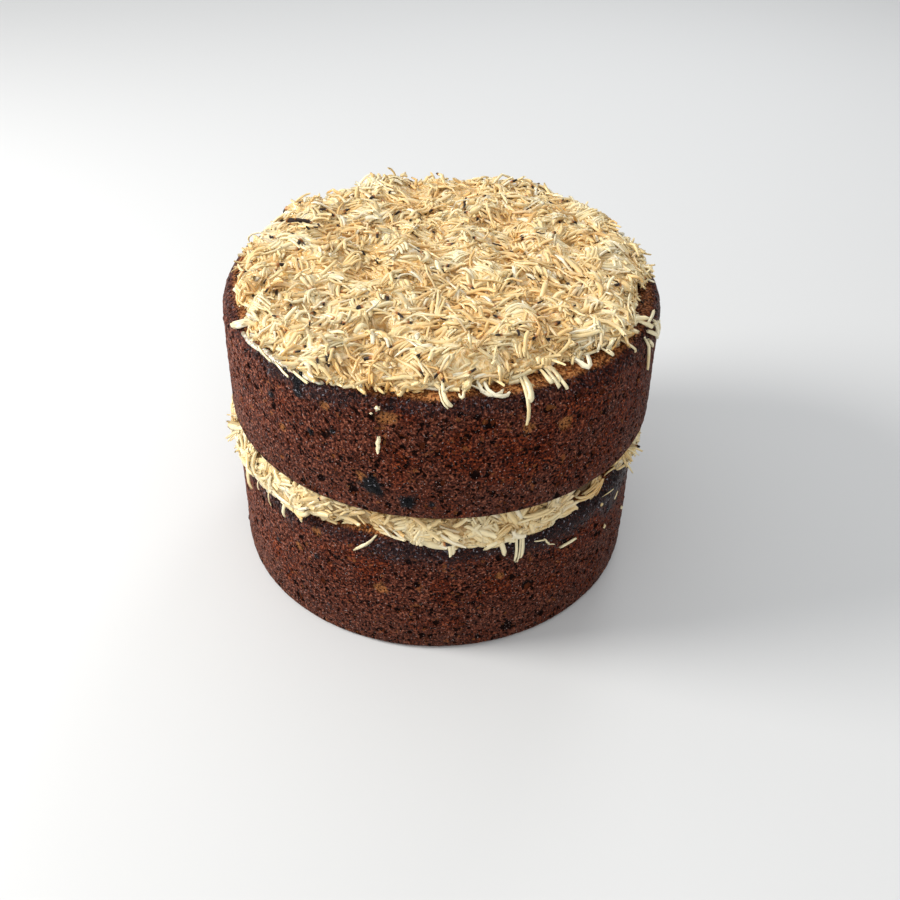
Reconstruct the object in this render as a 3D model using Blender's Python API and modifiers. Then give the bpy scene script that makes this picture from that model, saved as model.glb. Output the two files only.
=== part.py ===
"""Date cake: two round layers, shredded coconut between them and on top. Metres, +Z up, base at z = 0."""

import math
import random

import bmesh
import bpy
from mathutils import Matrix, Vector, noise

# Cake layers, as baked in a round pan: a radius is taken just below the rounded top edge.
LOWER_RADIUS = 0.0736
UPPER_RADIUS = 0.0740
SIDE_FLARE = 0.0011
LOWER_HEIGHT = 0.0494
UPPER_HEIGHT = 0.0442
UPPER_SHIFT = Vector((0.0014, 0.0003, 0.0))
TOP_ROUND = 0.0060
BASE_ROUND = 0.0022
PAN_WOBBLE = 0.0006
WOBBLE_LENGTH = 0.045
LAYER_STEPS = 48
TOP_ROUND_STEPS = 4
BASE_ROUND_STEPS = 2

# Shreds of coconut: flat strips, fused to the heap they lie in.
SHRED_WIDTH = 0.0018
SHRED_THICKNESS = 0.0011
SHRED_LENGTHS = (0.0080, 0.0135)
END_NARROWING = 0.75
PATH_POINTS = 4
SHRED_SEED = 7

# Coconut between the layers. Its radii and heights are those of the bare heap, under its shreds.
FILLING_HEIGHT = 0.0123
FILLING_BULGE = 0.0018
FILLING_LEAN = 0.0020
FILLING_BUMP = 0.0013
FILLING_SHREDS = 58
FILLING_STEPS = 84
UNDER_ROWS = 3
SIDE_ROWS = 4
FLAT_MARGIN = 0.0020
RIM_REST = 0.0018

# Coconut on top.
TOPPING_HEIGHT = 0.0062
TOPPING_BUMP = 0.0026
CLUMP_LENGTH = 0.0085
TUFT_LENGTH = 0.0042
HOLLOW_DEPTH = 0.0026
PEAK_HEIGHT = 0.0022
BACK_DROP = 0.0016
SHOULDER_START = 0.72
EDGE_SHARE = 0.42
LEAST_TOPPING = 0.0012
TOPPING_TUCK = 0.0010
TOPPING_CELLS = 24
TOPPING_SHREDS = 84
TOPPING_SPREAD = 0.90
RIM_SHREDS = 38
RIM_SHRED_LENGTHS = (0.0075, 0.0110)
RIM_SHRED_ROOT = 0.0050

# Uneven outlines of the coconut: (degrees anticlockwise from +X, radius).
TOPPING_EDGE = [
    (0, 0.0715), (28, 0.0700), (60, 0.0695), (95, 0.0700), (130, 0.0690), (165, 0.0680),
    (189, 0.0672), (207, 0.0690), (228, 0.0722), (243, 0.0726), (258, 0.0705), (272, 0.0685),
    (290, 0.0662), (300, 0.0645), (313, 0.0652), (321, 0.0700), (337, 0.0677), (347, 0.0640),
]
FILLING_EDGE = [
    (0, 0.0740), (35, 0.0722), (70, 0.0742), (105, 0.0720), (140, 0.0738), (172, 0.0758),
    (207, 0.0748), (220, 0.0762), (236, 0.0745), (242, 0.0710), (249, 0.0684), (258, 0.0698),
    (268, 0.0728), (280, 0.0758), (290, 0.0758), (298, 0.0735), (307, 0.0718), (316, 0.0735),
    (328, 0.0702), (340, 0.0752),
]

# Hollows and peaks of the heap on top: (x, y, radius) from the middle of the upper layer.
HOLLOWS = [
    (-0.016, 0.036, 0.017), (0.018, 0.024, 0.015), (-0.022, -0.012, 0.014), (0.030, -0.022, 0.012),
]
PEAKS = [
    (-0.024, 0.060, 0.010), (0.019, 0.062, 0.012), (-0.052, 0.036, 0.011), (0.052, 0.040, 0.012),
]

# Shreds that hang over a rim: (degrees anticlockwise from +X, drop, sideways lean).
TOPPING_HANGERS = [
    (272, 0.0020, 0.0010), (290, 0.0090, -0.0012), (298, 0.0020, 0.0010), (333, 0.0140, 0.0014),
    (201, 0.0062, -0.0014), (322, 0.0026, 0.0010), (237, 0.0022, 0.0010), (60, 0.0050, 0.0010),
    (120, 0.0040, -0.0012), (160, 0.0060, 0.0008),
]
FILLING_HANGERS = [
    (292, 0.0110, 0.0008), (286, 0.0060, -0.0010), (275, 0.0026, 0.0012), (235, 0.0028, 0.0010),
    (228, 0.0047, -0.0008), (210, 0.0100, 0.0008), (204, 0.0034, -0.0010), (40, 0.0040, 0.0010),
    (100, 0.0050, -0.0010), (150, 0.0032, 0.0012),
]
HANG_CLEARANCE = 0.0006
HANG_ROOT = 0.0042

# Shreds stuck flat on a layer's crust: (degrees, depth below its top, length, slope in degrees).
UPPER_STUCK = [(256.5, 0.0159, 0.0058, 85)]
LOWER_STUCK = [(252.3, 0.0034, 0.0092, 40), (308.0, 0.0123, 0.0077, 3)]
STUCK_PROUD = 0.0007
STUCK_BEND = 0.0006

TOUCH_GAP = 0.0003
WELD = 0.000002
FUSED_DETAIL = 0.82

FILLING_BASE = LOWER_HEIGHT + TOUCH_GAP
UPPER_BASE = LOWER_HEIGHT + FILLING_HEIGHT
FILLING_TOP = UPPER_BASE - TOUCH_GAP
TOPPING_BASE = UPPER_BASE + UPPER_HEIGHT + TOUCH_GAP
UP = Vector((0.0, 0.0, 1.0))

CRUST_COLOUR = (0.075, 0.026, 0.013, 1.0)
FILLING_COLOUR = (0.60, 0.45, 0.24, 1.0)
TOPPING_COLOUR = (0.66, 0.48, 0.24, 1.0)
CRUST_ROUGHNESS = 0.62
COCONUT_ROUGHNESS = 0.45


def clear_scene():
    for obj in list(bpy.data.objects):
        bpy.data.objects.remove(obj, do_unlink=True)


def new_collection(name):
    collection = bpy.data.collections.new(name)
    bpy.context.scene.collection.children.link(collection)
    return collection


def new_material(name, colour, roughness):
    material = bpy.data.materials.new(name)
    material.use_nodes = True
    shader = material.node_tree.nodes["Principled BSDF"]
    shader.inputs["Base Color"].default_value = colour
    shader.inputs["Roughness"].default_value = roughness
    shader.inputs["Metallic"].default_value = 0.0
    return material


def object_from(bm, name, collection):
    """Turns a bmesh into a named object of triangles that face out."""
    bmesh.ops.triangulate(bm, faces=bm.faces)
    bmesh.ops.recalc_face_normals(bm, faces=bm.faces)
    mesh = bpy.data.meshes.new(name)
    bm.to_mesh(mesh)
    bm.free()
    obj = bpy.data.objects.new(name, mesh)
    collection.objects.link(obj)
    return obj


def apply_modifiers(obj):
    bpy.context.view_layer.update()
    graph = bpy.context.evaluated_depsgraph_get()
    mesh = bpy.data.meshes.new_from_object(obj.evaluated_get(graph))
    obj.modifiers.clear()
    obj.data = mesh


# Directions and outlines


def polar(angle, radius, z):
    return Vector((radius * math.cos(angle), radius * math.sin(angle), z))


def outward_at(angle):
    return polar(angle, 1.0, 0.0)


def around_at(angle):
    return Vector((-math.sin(angle), math.cos(angle), 0.0))


def edge_at(edge, angle):
    """Radius of an uneven outline at an angle, eased from one of its points to the next."""
    degrees = math.degrees(angle) % 360
    stops = edge + [(edge[0][0] + 360, edge[0][1])]
    for (start, near), (end, far) in zip(stops, stops[1:]):
        if start <= degrees <= end:
            part = (1 - math.cos(math.pi * (degrees - start) / (end - start))) / 2
            return near + (far - near) * part
    return edge[0][1]


def nearness(x, y, spots):
    """1 at the middle of a spot, falling smoothly to 0 at its radius."""
    return max(
        max(0.0, 1 - ((x - middle_x) ** 2 + (y - middle_y) ** 2) / size**2) ** 2
        for middle_x, middle_y, size in spots
    )


# Cake layers


def corner(middle_x, middle_z, radius, start, end, steps):
    """Points of an arc in the profile's plane, between two angles in degrees."""
    turns = [math.radians(start + (end - start) * step / steps) for step in range(steps + 1)]
    return [(middle_x + radius * math.cos(turn), middle_z + radius * math.sin(turn)) for turn in turns]


def layer_profile(radius, height):
    """Half of a layer's outline, from the middle of its top down its side to the middle of its base."""
    base_radius = radius + SIDE_FLARE - BASE_ROUND
    top = corner(radius - TOP_ROUND, height - TOP_ROUND, TOP_ROUND, 90, 0, TOP_ROUND_STEPS)
    base = corner(base_radius, BASE_ROUND, BASE_ROUND, 0, -90, BASE_ROUND_STEPS)
    return [(0.0, height)] + top + base + [(0.0, 0.0)]


def crust_drop(radius, reach):
    """How far a layer's top has rounded off at a distance from its middle."""
    past = min(max(0.0, reach - (radius - TOP_ROUND)), TOP_ROUND)
    return TOP_ROUND - math.sqrt(TOP_ROUND**2 - past**2)


def turned(name, profile, collection):
    """A profile in the XZ plane turned about Z, as an object with its Screw modifier applied."""
    mesh = bpy.data.meshes.new(name)
    edges = [(index, index + 1) for index in range(len(profile) - 1)]
    mesh.from_pydata([(x, 0.0, z) for x, z in profile], edges, [])
    obj = bpy.data.objects.new(name, mesh)
    collection.objects.link(obj)
    screw = obj.modifiers.new("Turn", "SCREW")
    screw.steps = LAYER_STEPS
    screw.render_steps = LAYER_STEPS
    screw.use_merge_vertices = True
    screw.merge_threshold = 0.00001
    apply_modifiers(obj)
    return obj


def cake_layer(name, radius, height, base, shift, collection):
    """A baked layer: a turned solid whose side strays a little from the round, with flat faces."""
    obj = turned(name, layer_profile(radius, height), collection)
    for vertex in obj.data.vertices:
        reach = math.hypot(vertex.co.x, vertex.co.y)
        if reach > radius / 2:
            wave = abs(noise.noise(Vector((vertex.co.x, vertex.co.y, base)) / WOBBLE_LENGTH))
            vertex.co.x *= 1 - PAN_WOBBLE * wave / reach
            vertex.co.y *= 1 - PAN_WOBBLE * wave / reach
        vertex.co += shift + UP * base
    return obj


def stick_shreds(layer, places, radius, height, base, shift):
    """Fuses single shreds to a layer's side or rounded rim, flat against it and partly sunk."""
    pieces = new_collection(layer.name + "_stuck")
    for number, (degrees, depth, length, slope) in enumerate(places):
        angle = math.radians(degrees)
        lean = math.asin(max(0.0, 1 - depth / TOP_ROUND))
        out = outward_at(angle) * math.cos(lean) + UP * math.sin(lean)
        uphill = UP * math.cos(lean) - outward_at(angle) * math.sin(lean)
        climb = math.sin(math.radians(slope))
        ahead = around_at(angle) * math.cos(math.radians(slope)) + uphill * climb
        flare = SIDE_FLARE * max(0.0, depth - TOP_ROUND) / (height - TOP_ROUND)
        reach = radius + flare - TOP_ROUND * (1 - math.cos(lean))
        crust = shift + polar(angle, reach, base + height - depth)
        sag = (climb * length / 2) ** 2 / (2 * TOP_ROUND) if lean > 0 else 0.0
        middle = crust + out * (STUCK_PROUD - SHRED_THICKNESS / 2)
        shred(f"stuck_{number}", arc(middle, ahead, out, length, -sag, STUCK_BEND), out, 0.0, pieces)
    fuse(layer, pieces)


# Shreds


def shred(name, path, up, roll, collection):
    """A strip along a path, flat side up: a box cut across its length, each cut moved onto the path."""
    bm = bmesh.new()
    bmesh.ops.create_cube(bm, size=1.0)
    lengthwise = [edge for edge in bm.edges if abs(edge.verts[0].co.x - edge.verts[1].co.x) > 0.5]
    bmesh.ops.subdivide_edges(bm, edges=lengthwise, cuts=len(path) - 2, use_grid_fill=True)
    last = len(path) - 1
    for vertex in bm.verts:
        index = round((vertex.co.x + 0.5) * last)
        ahead = (path[min(index + 1, last)] - path[max(index - 1, 0)]).normalized()
        side = ahead.cross(up).normalized()
        side.rotate(Matrix.Rotation(roll, 3, ahead))
        size = END_NARROWING if index in (0, last) else 1.0
        offset = side * (vertex.co.y * SHRED_WIDTH) + side.cross(ahead) * (vertex.co.z * SHRED_THICKNESS)
        vertex.co = path[index] + offset * size
    return object_from(bm, name, collection)


def arc(middle, ahead, up, length, lift, bend):
    """A path through a middle point: its ends rise by lift and sway by bend to one side."""
    side = ahead.cross(up).normalized()
    path = []
    for step in range(PATH_POINTS):
        along = 2 * step / (PATH_POINTS - 1) - 1
        path.append(middle + ahead * (along * length / 2) + (up * lift + side * bend) * along**2)
    return path


def hanging_path(angle, radius, edge, base, drop, lean):
    """From inside the heap out over the rim and down, clear of the crust."""
    root = edge - HANG_ROOT
    over = radius + SHRED_WIDTH / 2 + HANG_CLEARANCE
    stops = [
        (root, 0.0026, 0.0),
        ((root + over) / 2, 0.0029, 0.2),
        (over - 0.0010, 0.0010, 0.45),
        (over, -0.35 * drop - 0.0008, 0.6),
        (over + 0.0003, -drop, 1.0),
    ]
    sway = around_at(angle) * lean
    return [polar(angle, reach, base + rise) + sway * share for reach, rise, share in stops]


def hang_shreds(hangers, edge, radius, base, shift, pieces):
    for number, (degrees, drop, lean) in enumerate(hangers):
        angle = math.radians(degrees)
        path = hanging_path(angle, radius, edge_at(edge, angle), base, drop, lean)
        path = [point + shift for point in path]
        shred(f"hanger_{number:02d}", path, outward_at(angle) + UP, 0.0, pieces)


def fuse(core, pieces):
    """Joins a collection of pieces to their core, and keeps the one closed body that comes of it."""
    union = core.modifiers.new("Fuse", "BOOLEAN")
    union.operation = "UNION"
    union.operand_type = "COLLECTION"
    union.collection = pieces
    union.solver = "EXACT"
    apply_modifiers(core)
    for obj in list(pieces.objects):
        bpy.data.objects.remove(obj, do_unlink=True)
    bpy.data.collections.remove(pieces)
    keep_largest_island(core)


def keep_largest_island(obj):
    """Drops loose scraps, and the walls of any hollow that the union sealed."""
    bm = bmesh.new()
    bm.from_mesh(obj.data)
    bmesh.ops.remove_doubles(bm, verts=bm.verts, dist=WELD)
    bmesh.ops.triangulate(bm, faces=bm.faces)
    islands = []
    seen = set()
    for vertex in bm.verts:
        if vertex not in seen:
            islands.append(island_of(vertex))
            seen.update(islands[-1])
    islands.sort(key=len)
    for island in islands[:-1]:
        bmesh.ops.delete(bm, geom=island, context="VERTS")
    bm.to_mesh(obj.data)
    bm.free()


def island_of(vertex):
    """All vertices joined to one by edges, in the order they are reached."""
    found = {vertex: None}
    front = [vertex]
    while front:
        reached = [edge.other_vert(each) for each in front for edge in each.link_edges]
        front = list(dict.fromkeys(each for each in reached if each not in found))
        found.update(dict.fromkeys(front))
    return list(found)


def thin_out(obj):
    """Collapses the slivers that fusing left, which the shape doesn't need."""
    thin = obj.modifiers.new("Thin", "DECIMATE")
    thin.ratio = FUSED_DETAIL
    apply_modifiers(obj)


# Coconut filling


def filling_radius(angle, part):
    """Radius of the bare filling from its foot, part 0, to its top, part 1: it bulges and is bumpy."""
    bulge = FILLING_BULGE * math.sin(math.pi * part) - FILLING_LEAN * part
    bump = FILLING_BUMP * noise.noise(polar(angle, LOWER_RADIUS, part * FILLING_HEIGHT) / TUFT_LENGTH)
    outline = edge_at(FILLING_EDGE, angle) - SHRED_THICKNESS + bulge + bump
    return min(outline, LOWER_RADIUS - RIM_REST * (1 - part) + 2 * bulge)


def filling_level(angle, part):
    """Height on the filling's side, from the crust under it at part 0 to the upper layer at part 1."""
    low = FILLING_BASE - crust_drop(LOWER_RADIUS, filling_radius(angle, 0.0))
    return low + (FILLING_TOP - low) * part


def filling_core(collection):
    """A thick disc between the layers: its rows run out over the rounded rim, then up a bulging side."""
    rows = UNDER_ROWS + SIDE_ROWS
    bm = bmesh.new()
    bmesh.ops.create_cone(
        bm, cap_ends=True, cap_tris=False, segments=FILLING_STEPS, radius1=1.0, radius2=1.0, depth=rows
    )
    upright = [edge for edge in bm.edges if abs(edge.verts[0].co.z - edge.verts[1].co.z) > 0.5]
    bmesh.ops.subdivide_edges(bm, edges=upright, cuts=rows - 1, use_grid_fill=True)
    flat_radius = LOWER_RADIUS - TOP_ROUND - FLAT_MARGIN
    for vertex in bm.verts:
        angle = math.atan2(vertex.co.y, vertex.co.x)
        row = round(vertex.co.z + rows / 2)
        if row <= UNDER_ROWS:
            reach = flat_radius + (filling_radius(angle, 0.0) - flat_radius) * row / UNDER_ROWS
            vertex.co = polar(angle, reach, FILLING_BASE - crust_drop(LOWER_RADIUS, reach))
        else:
            part = (row - UNDER_ROWS) / SIDE_ROWS
            vertex.co = polar(angle, filling_radius(angle, part), filling_level(angle, part))
    return object_from(bm, "coconut_filling", collection)


def filling_shreds(rng, pieces):
    """Shreds lying along the filling's side or poking out of it, level enough to stay off both layers."""
    for number in range(FILLING_SHREDS):
        angle = 2 * math.pi * (number + rng.uniform(-0.3, 0.3)) / FILLING_SHREDS
        part = rng.uniform(0.2, 0.8)
        z = max(filling_level(angle, part), FILLING_BASE + SHRED_WIDTH)
        z = min(z, FILLING_TOP - SHRED_WIDTH)
        length = rng.uniform(*SHRED_LENGTHS)
        swing = rng.uniform(-0.6, 0.6)
        ahead = around_at(angle) * math.cos(swing) + outward_at(angle) * math.sin(swing)
        room = min(z - FILLING_BASE, FILLING_TOP - z) - SHRED_WIDTH / 2
        ahead = (ahead + UP * (rng.uniform(-1.6, 1.6) * room / length)).normalized()
        middle = polar(angle, filling_radius(angle, part) - SHRED_THICKNESS / 4, z)
        path = arc(middle, ahead, outward_at(angle), length, rng.uniform(0.0, 0.0016), 0.0)
        shred(f"filling_shred_{number:02d}", path, outward_at(angle), rng.uniform(-0.5, 0.5), pieces)


def make_filling(rng, collection):
    core = filling_core(collection)
    pieces = new_collection("filling_pieces")
    filling_shreds(rng, pieces)
    hang_shreds(FILLING_HANGERS, FILLING_EDGE, LOWER_RADIUS, FILLING_BASE, Vector(), pieces)
    fuse(core, pieces)
    thin_out(core)
    return core


# Coconut topping


def topping_height(x, y, reach):
    """Height of the bare heap above the crust: a shoulder at its edge, hollows, peaks and bumps."""
    past = max(0.0, reach - SHOULDER_START) / (1 - SHOULDER_START)
    shoulder = EDGE_SHARE + (1 - EDGE_SHARE) * math.sqrt(1 - past**2)
    level = TOPPING_HEIGHT - HOLLOW_DEPTH * nearness(x, y, HOLLOWS) + PEAK_HEIGHT * nearness(x, y, PEAKS)
    level -= BACK_DROP * max(0.0, y / UPPER_RADIUS)
    clumps = noise.noise(Vector((x, y, 0.3)) / CLUMP_LENGTH)
    tufts = noise.noise(Vector((x, y, 0.7)) / TUFT_LENGTH)
    return max((level + (clumps + tufts / 2) * TOPPING_BUMP) * shoulder, LEAST_TOPPING)


def disc_point(u, v):
    """Angle and share of the radius on a disc, for a point of a square from -1 to 1."""
    reach = max(abs(u), abs(v))
    if reach == 0:
        return 0.0, 0.0
    if abs(u) >= abs(v):
        angle = math.pi / 4 * (v / u) + (0 if u > 0 else math.pi)
    else:
        angle = math.pi / 2 - math.pi / 4 * (u / v) + (0 if v > 0 else math.pi)
    return angle, reach


def topping_core(collection):
    """The bare heap: a square net mapped onto a disc and lifted by rule, its base fitted to the crust."""
    bm = bmesh.new()
    bmesh.ops.create_grid(bm, x_segments=TOPPING_CELLS, y_segments=TOPPING_CELLS, size=1.0)
    for vertex in bm.verts:
        angle, reach = disc_point(vertex.co.x, vertex.co.y)
        spot = polar(angle, (edge_at(TOPPING_EDGE, angle) - SHRED_THICKNESS) * reach, 0.0)
        vertex.co = spot + UP * topping_height(spot.x, spot.y, reach)
    rim = [edge for edge in bm.edges if edge.is_boundary]
    nearly_flat = UPPER_RADIUS - TOP_ROUND + TOPPING_TUCK
    rim = extrude_onto_crust(bm, rim, lambda reach: reach - TOPPING_TUCK)
    rim = extrude_onto_crust(bm, rim, lambda reach: min(reach - TOUCH_GAP, nearly_flat))
    bmesh.ops.contextual_create(bm, geom=rim)
    bmesh.ops.translate(bm, verts=bm.verts, vec=UPPER_SHIFT + UP * TOPPING_BASE)
    return object_from(bm, "coconut_topping", collection)


def extrude_onto_crust(bm, rim, fit):
    """Carries an open edge down onto the crust, at the radius that fit gives for each of its points."""
    made = bmesh.ops.extrude_edge_only(bm, edges=rim)
    rim = [edge for edge in made["geom"] if isinstance(edge, bmesh.types.BMEdge) and edge.is_boundary]
    for vertex in dict.fromkeys(vertex for edge in rim for vertex in edge.verts):
        angle = math.atan2(vertex.co.y, vertex.co.x)
        reach = fit(math.hypot(vertex.co.x, vertex.co.y))
        vertex.co = polar(angle, reach, -crust_drop(UPPER_RADIUS, reach))
    return rim


def topping_shreds(rng, pieces):
    """Shreds spread evenly over the heap on a spiral, each half sunk, its ends lifting clear."""
    golden = math.pi * (3 - math.sqrt(5))
    for number in range(TOPPING_SHREDS):
        reach = math.sqrt((number + 0.5) / TOPPING_SHREDS) * TOPPING_SPREAD
        angle = number * golden
        spot = polar(angle, edge_at(TOPPING_EDGE, angle) * reach, 0.0)
        middle = spot + UPPER_SHIFT + UP * (TOPPING_BASE + topping_height(spot.x, spot.y, reach))
        heading = rng.uniform(0, 2 * math.pi)
        ahead = (outward_at(heading) + UP * rng.uniform(-0.22, 0.22)).normalized()
        length = rng.uniform(*SHRED_LENGTHS)
        path = arc(middle, ahead, UP, length, rng.uniform(0.0004, 0.0018), rng.uniform(-0.0026, 0.0026))
        shred(f"topping_shred_{number:02d}", path, UP, rng.uniform(-0.6, 0.6), pieces)


def topping_rim_shreds(rng, pieces):
    """Shreds round the edge of the heap, sticking out and drooping towards the crust."""
    for number in range(RIM_SHREDS):
        angle = 2 * math.pi * (number + rng.uniform(-0.3, 0.3)) / RIM_SHREDS
        swing = rng.uniform(-1.1, 1.1)
        ahead = outward_at(angle) * math.cos(swing) + around_at(angle) * math.sin(swing)
        length = rng.uniform(*RIM_SHRED_LENGTHS)
        droop = rng.uniform(0.0006, 0.0012)
        root = edge_at(TOPPING_EDGE, angle) - RIM_SHRED_ROOT
        start = UPPER_SHIFT + polar(angle, root, TOPPING_BASE + rng.uniform(0.0026, 0.0036))
        path = []
        for step in range(PATH_POINTS):
            share = step / (PATH_POINTS - 1)
            path.append(start + ahead * (length * share) + UP * (droop * share * (1 - 2 * share)))
        shred(f"topping_rim_{number:02d}", path, UP, rng.uniform(-0.3, 0.3), pieces)


def make_topping(rng, collection):
    core = topping_core(collection)
    pieces = new_collection("topping_pieces")
    topping_shreds(rng, pieces)
    topping_rim_shreds(rng, pieces)
    hang_shreds(TOPPING_HANGERS, TOPPING_EDGE, UPPER_RADIUS, TOPPING_BASE, UPPER_SHIFT, pieces)
    fuse(core, pieces)
    thin_out(core)
    return core


def main():
    clear_scene()
    rng = random.Random(SHRED_SEED)
    cake = new_collection("date_cake")
    lower = cake_layer("lower_layer", LOWER_RADIUS, LOWER_HEIGHT, 0.0, Vector(), cake)
    stick_shreds(lower, LOWER_STUCK, LOWER_RADIUS, LOWER_HEIGHT, 0.0, Vector())
    filling = make_filling(rng, cake)
    upper = cake_layer("upper_layer", UPPER_RADIUS, UPPER_HEIGHT, UPPER_BASE, UPPER_SHIFT, cake)
    stick_shreds(upper, UPPER_STUCK, UPPER_RADIUS, UPPER_HEIGHT, UPPER_BASE, UPPER_SHIFT)
    topping = make_topping(rng, cake)
    crust = new_material("crust", CRUST_COLOUR, CRUST_ROUGHNESS)
    materials = {
        lower: crust,
        filling: new_material("filling", FILLING_COLOUR, COCONUT_ROUGHNESS),
        upper: crust,
        topping: new_material("topping", TOPPING_COLOUR, COCONUT_ROUGHNESS),
    }
    for obj, material in materials.items():
        obj.data.materials.clear()
        obj.data.materials.append(material)


main()
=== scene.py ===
"""Looks of the date cake: a fine-pored dark crust, toasted coconut laid shred by shred, and a thin glaze."""

import itertools
import math

import bpy
import numpy as np
from mathutils import Matrix, Vector
from mathutils.bvhtree import BVHTree


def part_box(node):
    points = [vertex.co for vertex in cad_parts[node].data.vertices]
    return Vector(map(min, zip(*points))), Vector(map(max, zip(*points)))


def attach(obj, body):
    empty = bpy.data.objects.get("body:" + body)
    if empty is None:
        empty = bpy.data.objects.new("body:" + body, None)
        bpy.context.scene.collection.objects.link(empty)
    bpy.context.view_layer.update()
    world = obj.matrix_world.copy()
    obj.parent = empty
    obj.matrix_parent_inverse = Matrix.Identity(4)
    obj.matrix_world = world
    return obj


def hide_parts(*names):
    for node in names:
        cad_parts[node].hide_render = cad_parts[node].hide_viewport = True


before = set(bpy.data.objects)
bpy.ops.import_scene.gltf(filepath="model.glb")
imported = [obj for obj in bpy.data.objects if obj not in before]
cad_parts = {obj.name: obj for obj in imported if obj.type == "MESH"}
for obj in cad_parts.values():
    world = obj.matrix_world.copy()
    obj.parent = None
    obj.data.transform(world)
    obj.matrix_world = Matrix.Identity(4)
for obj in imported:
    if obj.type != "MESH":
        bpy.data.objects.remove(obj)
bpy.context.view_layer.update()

# Outline of a cake layer, as in its solid.
TOP_ROUND = 0.006
BASE_ROUND = 0.0022
SIDE_FLARE = 0.0011

# Crust mesh: even cells where the crust shows, wide ones where the coconut or the floor hides it.
CRUST_CELL = 0.00066
CRUST_SHOWS_FROM = 0.062
HIDDEN_RINGS = 6

# Crust relief: (spacing, share of places with a pit, depth) and (wave size, height).
PITS = [(0.0017, 0.75, 0.00045), (0.0028, 0.16, 0.0007), (0.005, 0.05, 0.0009)]
WAVES = [(0.0012, 0.00016), (0.0026, 0.00014), (0.014, 0.00022)]
RELIEF_SINK = 0.0001

# Places on a crust: (degrees anticlockwise from +X, height, radius).
UPPER_DATES = [
    (254.8, 0.0735, 0.0038), (263.3, 0.0693, 0.0026), (235.6, 0.104, 0.0025), (236.0, 0.1, 0.002),
    (239.1, 0.0873, 0.0012), (226.7, 0.0938, 0.0014), (245.2, 0.0905, 0.001), (268.8, 0.0688, 0.0013),
]
LOWER_DATES = [(222.9, 0.0283, 0.0013), (238.2, 0.033, 0.0011), (326.0, 0.0372, 0.002)]
UPPER_PATCHES = [
    (258.3, 0.0996, 0.0028), (300.5, 0.0925, 0.0028), (243.3, 0.099, 0.0016), (290.8, 0.0945, 0.0018),
    (229.5, 0.083, 0.0013), (252.0, 0.076, 0.0018),
]
LOWER_PATCHES = [
    (256.6, 0.0277, 0.0024), (238.5, 0.0444, 0.0018), (232.0, 0.033, 0.0014), (288.0, 0.033, 0.0014),
]
# Dark band round the top of a side: (degrees, how far down it reaches, how dark it is).
UPPER_RIM = [
    (215, 0.0045, 0.45), (226, 0.007, 0.95), (246, 0.007, 0.85), (254, 0.005, 0.6), (290, 0.0042, 0.55),
    (310, 0.005, 0.6), (340, 0.006, 0.5), (90, 0.005, 0.6), (180, 0.005, 0.45),
]
LOWER_RIM = [
    (205, 0.006, 0.6), (228, 0.008, 0.85), (242, 0.006, 0.6), (262, 0.0085, 0.9), (300, 0.011, 1.0),
    (330, 0.016, 1.0), (350, 0.011, 0.9), (90, 0.009, 0.85), (160, 0.008, 0.8),
]

# How light the baked rim of a top is: (degrees, share).
TOP_BAKE = [
    (10, 0.35), (60, 0.9), (150, 0.8), (185, 0.6), (225, 0.7),
    (255, 1.0), (300, 1.0), (318, 0.6), (335, 0.25),
]

# One shred of coconut: a bent strip, nearly round, with points along it and corners round each of them.
SHRED_POINTS = 6
SHRED_SIDES = 5
SHRED_WIDTH = 0.00124
SHRED_TAPER = np.array([0.7, 0.98, 1.0, 1.0, 0.94, 0.62])
STEPS = np.linspace(-0.5, 0.5, SHRED_POINTS)
UP = np.array([0.0, 0.0, 1.0])
FLAT = np.array([1.0, 1.0, 0.0])

# Heaps of shreds.
HEAP_CELL = 0.001
HEAP_REACH = 0.08
TOPPING_COUNT = 7600
FILLING_COUNT = 2500
CLUMP_SHREDS = 4
# Share of the clumps whose shreds lie side by side in a bundle, and the step from one to the next there.
TIGHT_SHARE = 0.62
TIGHT_STEP = 0.00104
# The topping's shreds go into three pieces by their tone.
PALE_BELOW = 0.38
TOASTED_FROM = 0.56
# Hollows in the heap: (x, y, radius, depth).
HOLLOWS = [
    (-0.0169, -0.0421, 0.0042, 0.0058), (-0.031, -0.044, 0.002, 0.0022), (0.03, -0.026, 0.0028, 0.0024),
    (0.045, 0.012, 0.003, 0.0026), (-0.02, 0.045, 0.0032, 0.0028), (0.012, 0.054, 0.003, 0.0026),
    (-0.048, -0.01, 0.0026, 0.0022), (0.006, -0.008, 0.0026, 0.0018),
]
# Swells and dips in the heap: (x, y, radius, height).
SWELLS = [
    (-0.0265, 0.052, 0.0075, 0.0008), (-0.004, 0.061, 0.0165, -0.0034), (0.026, 0.056, 0.012, 0.0022),
    (-0.03, -0.054, 0.006, 0.0014), (-0.006, -0.052, 0.005, 0.0012),
]
# How far the topping's core lies under the heap's surface, over it where negative: where it is highest
# and where it is lowest.
CORE_SINK = (-0.0006, 0.0004)
# How far its rim lies inside the heap's edge.
CORE_INSET = 0.0022
# How dark a hollow's floor is, for each metre of its depth.
SHADE_PER_DEPTH = 150.0
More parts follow.
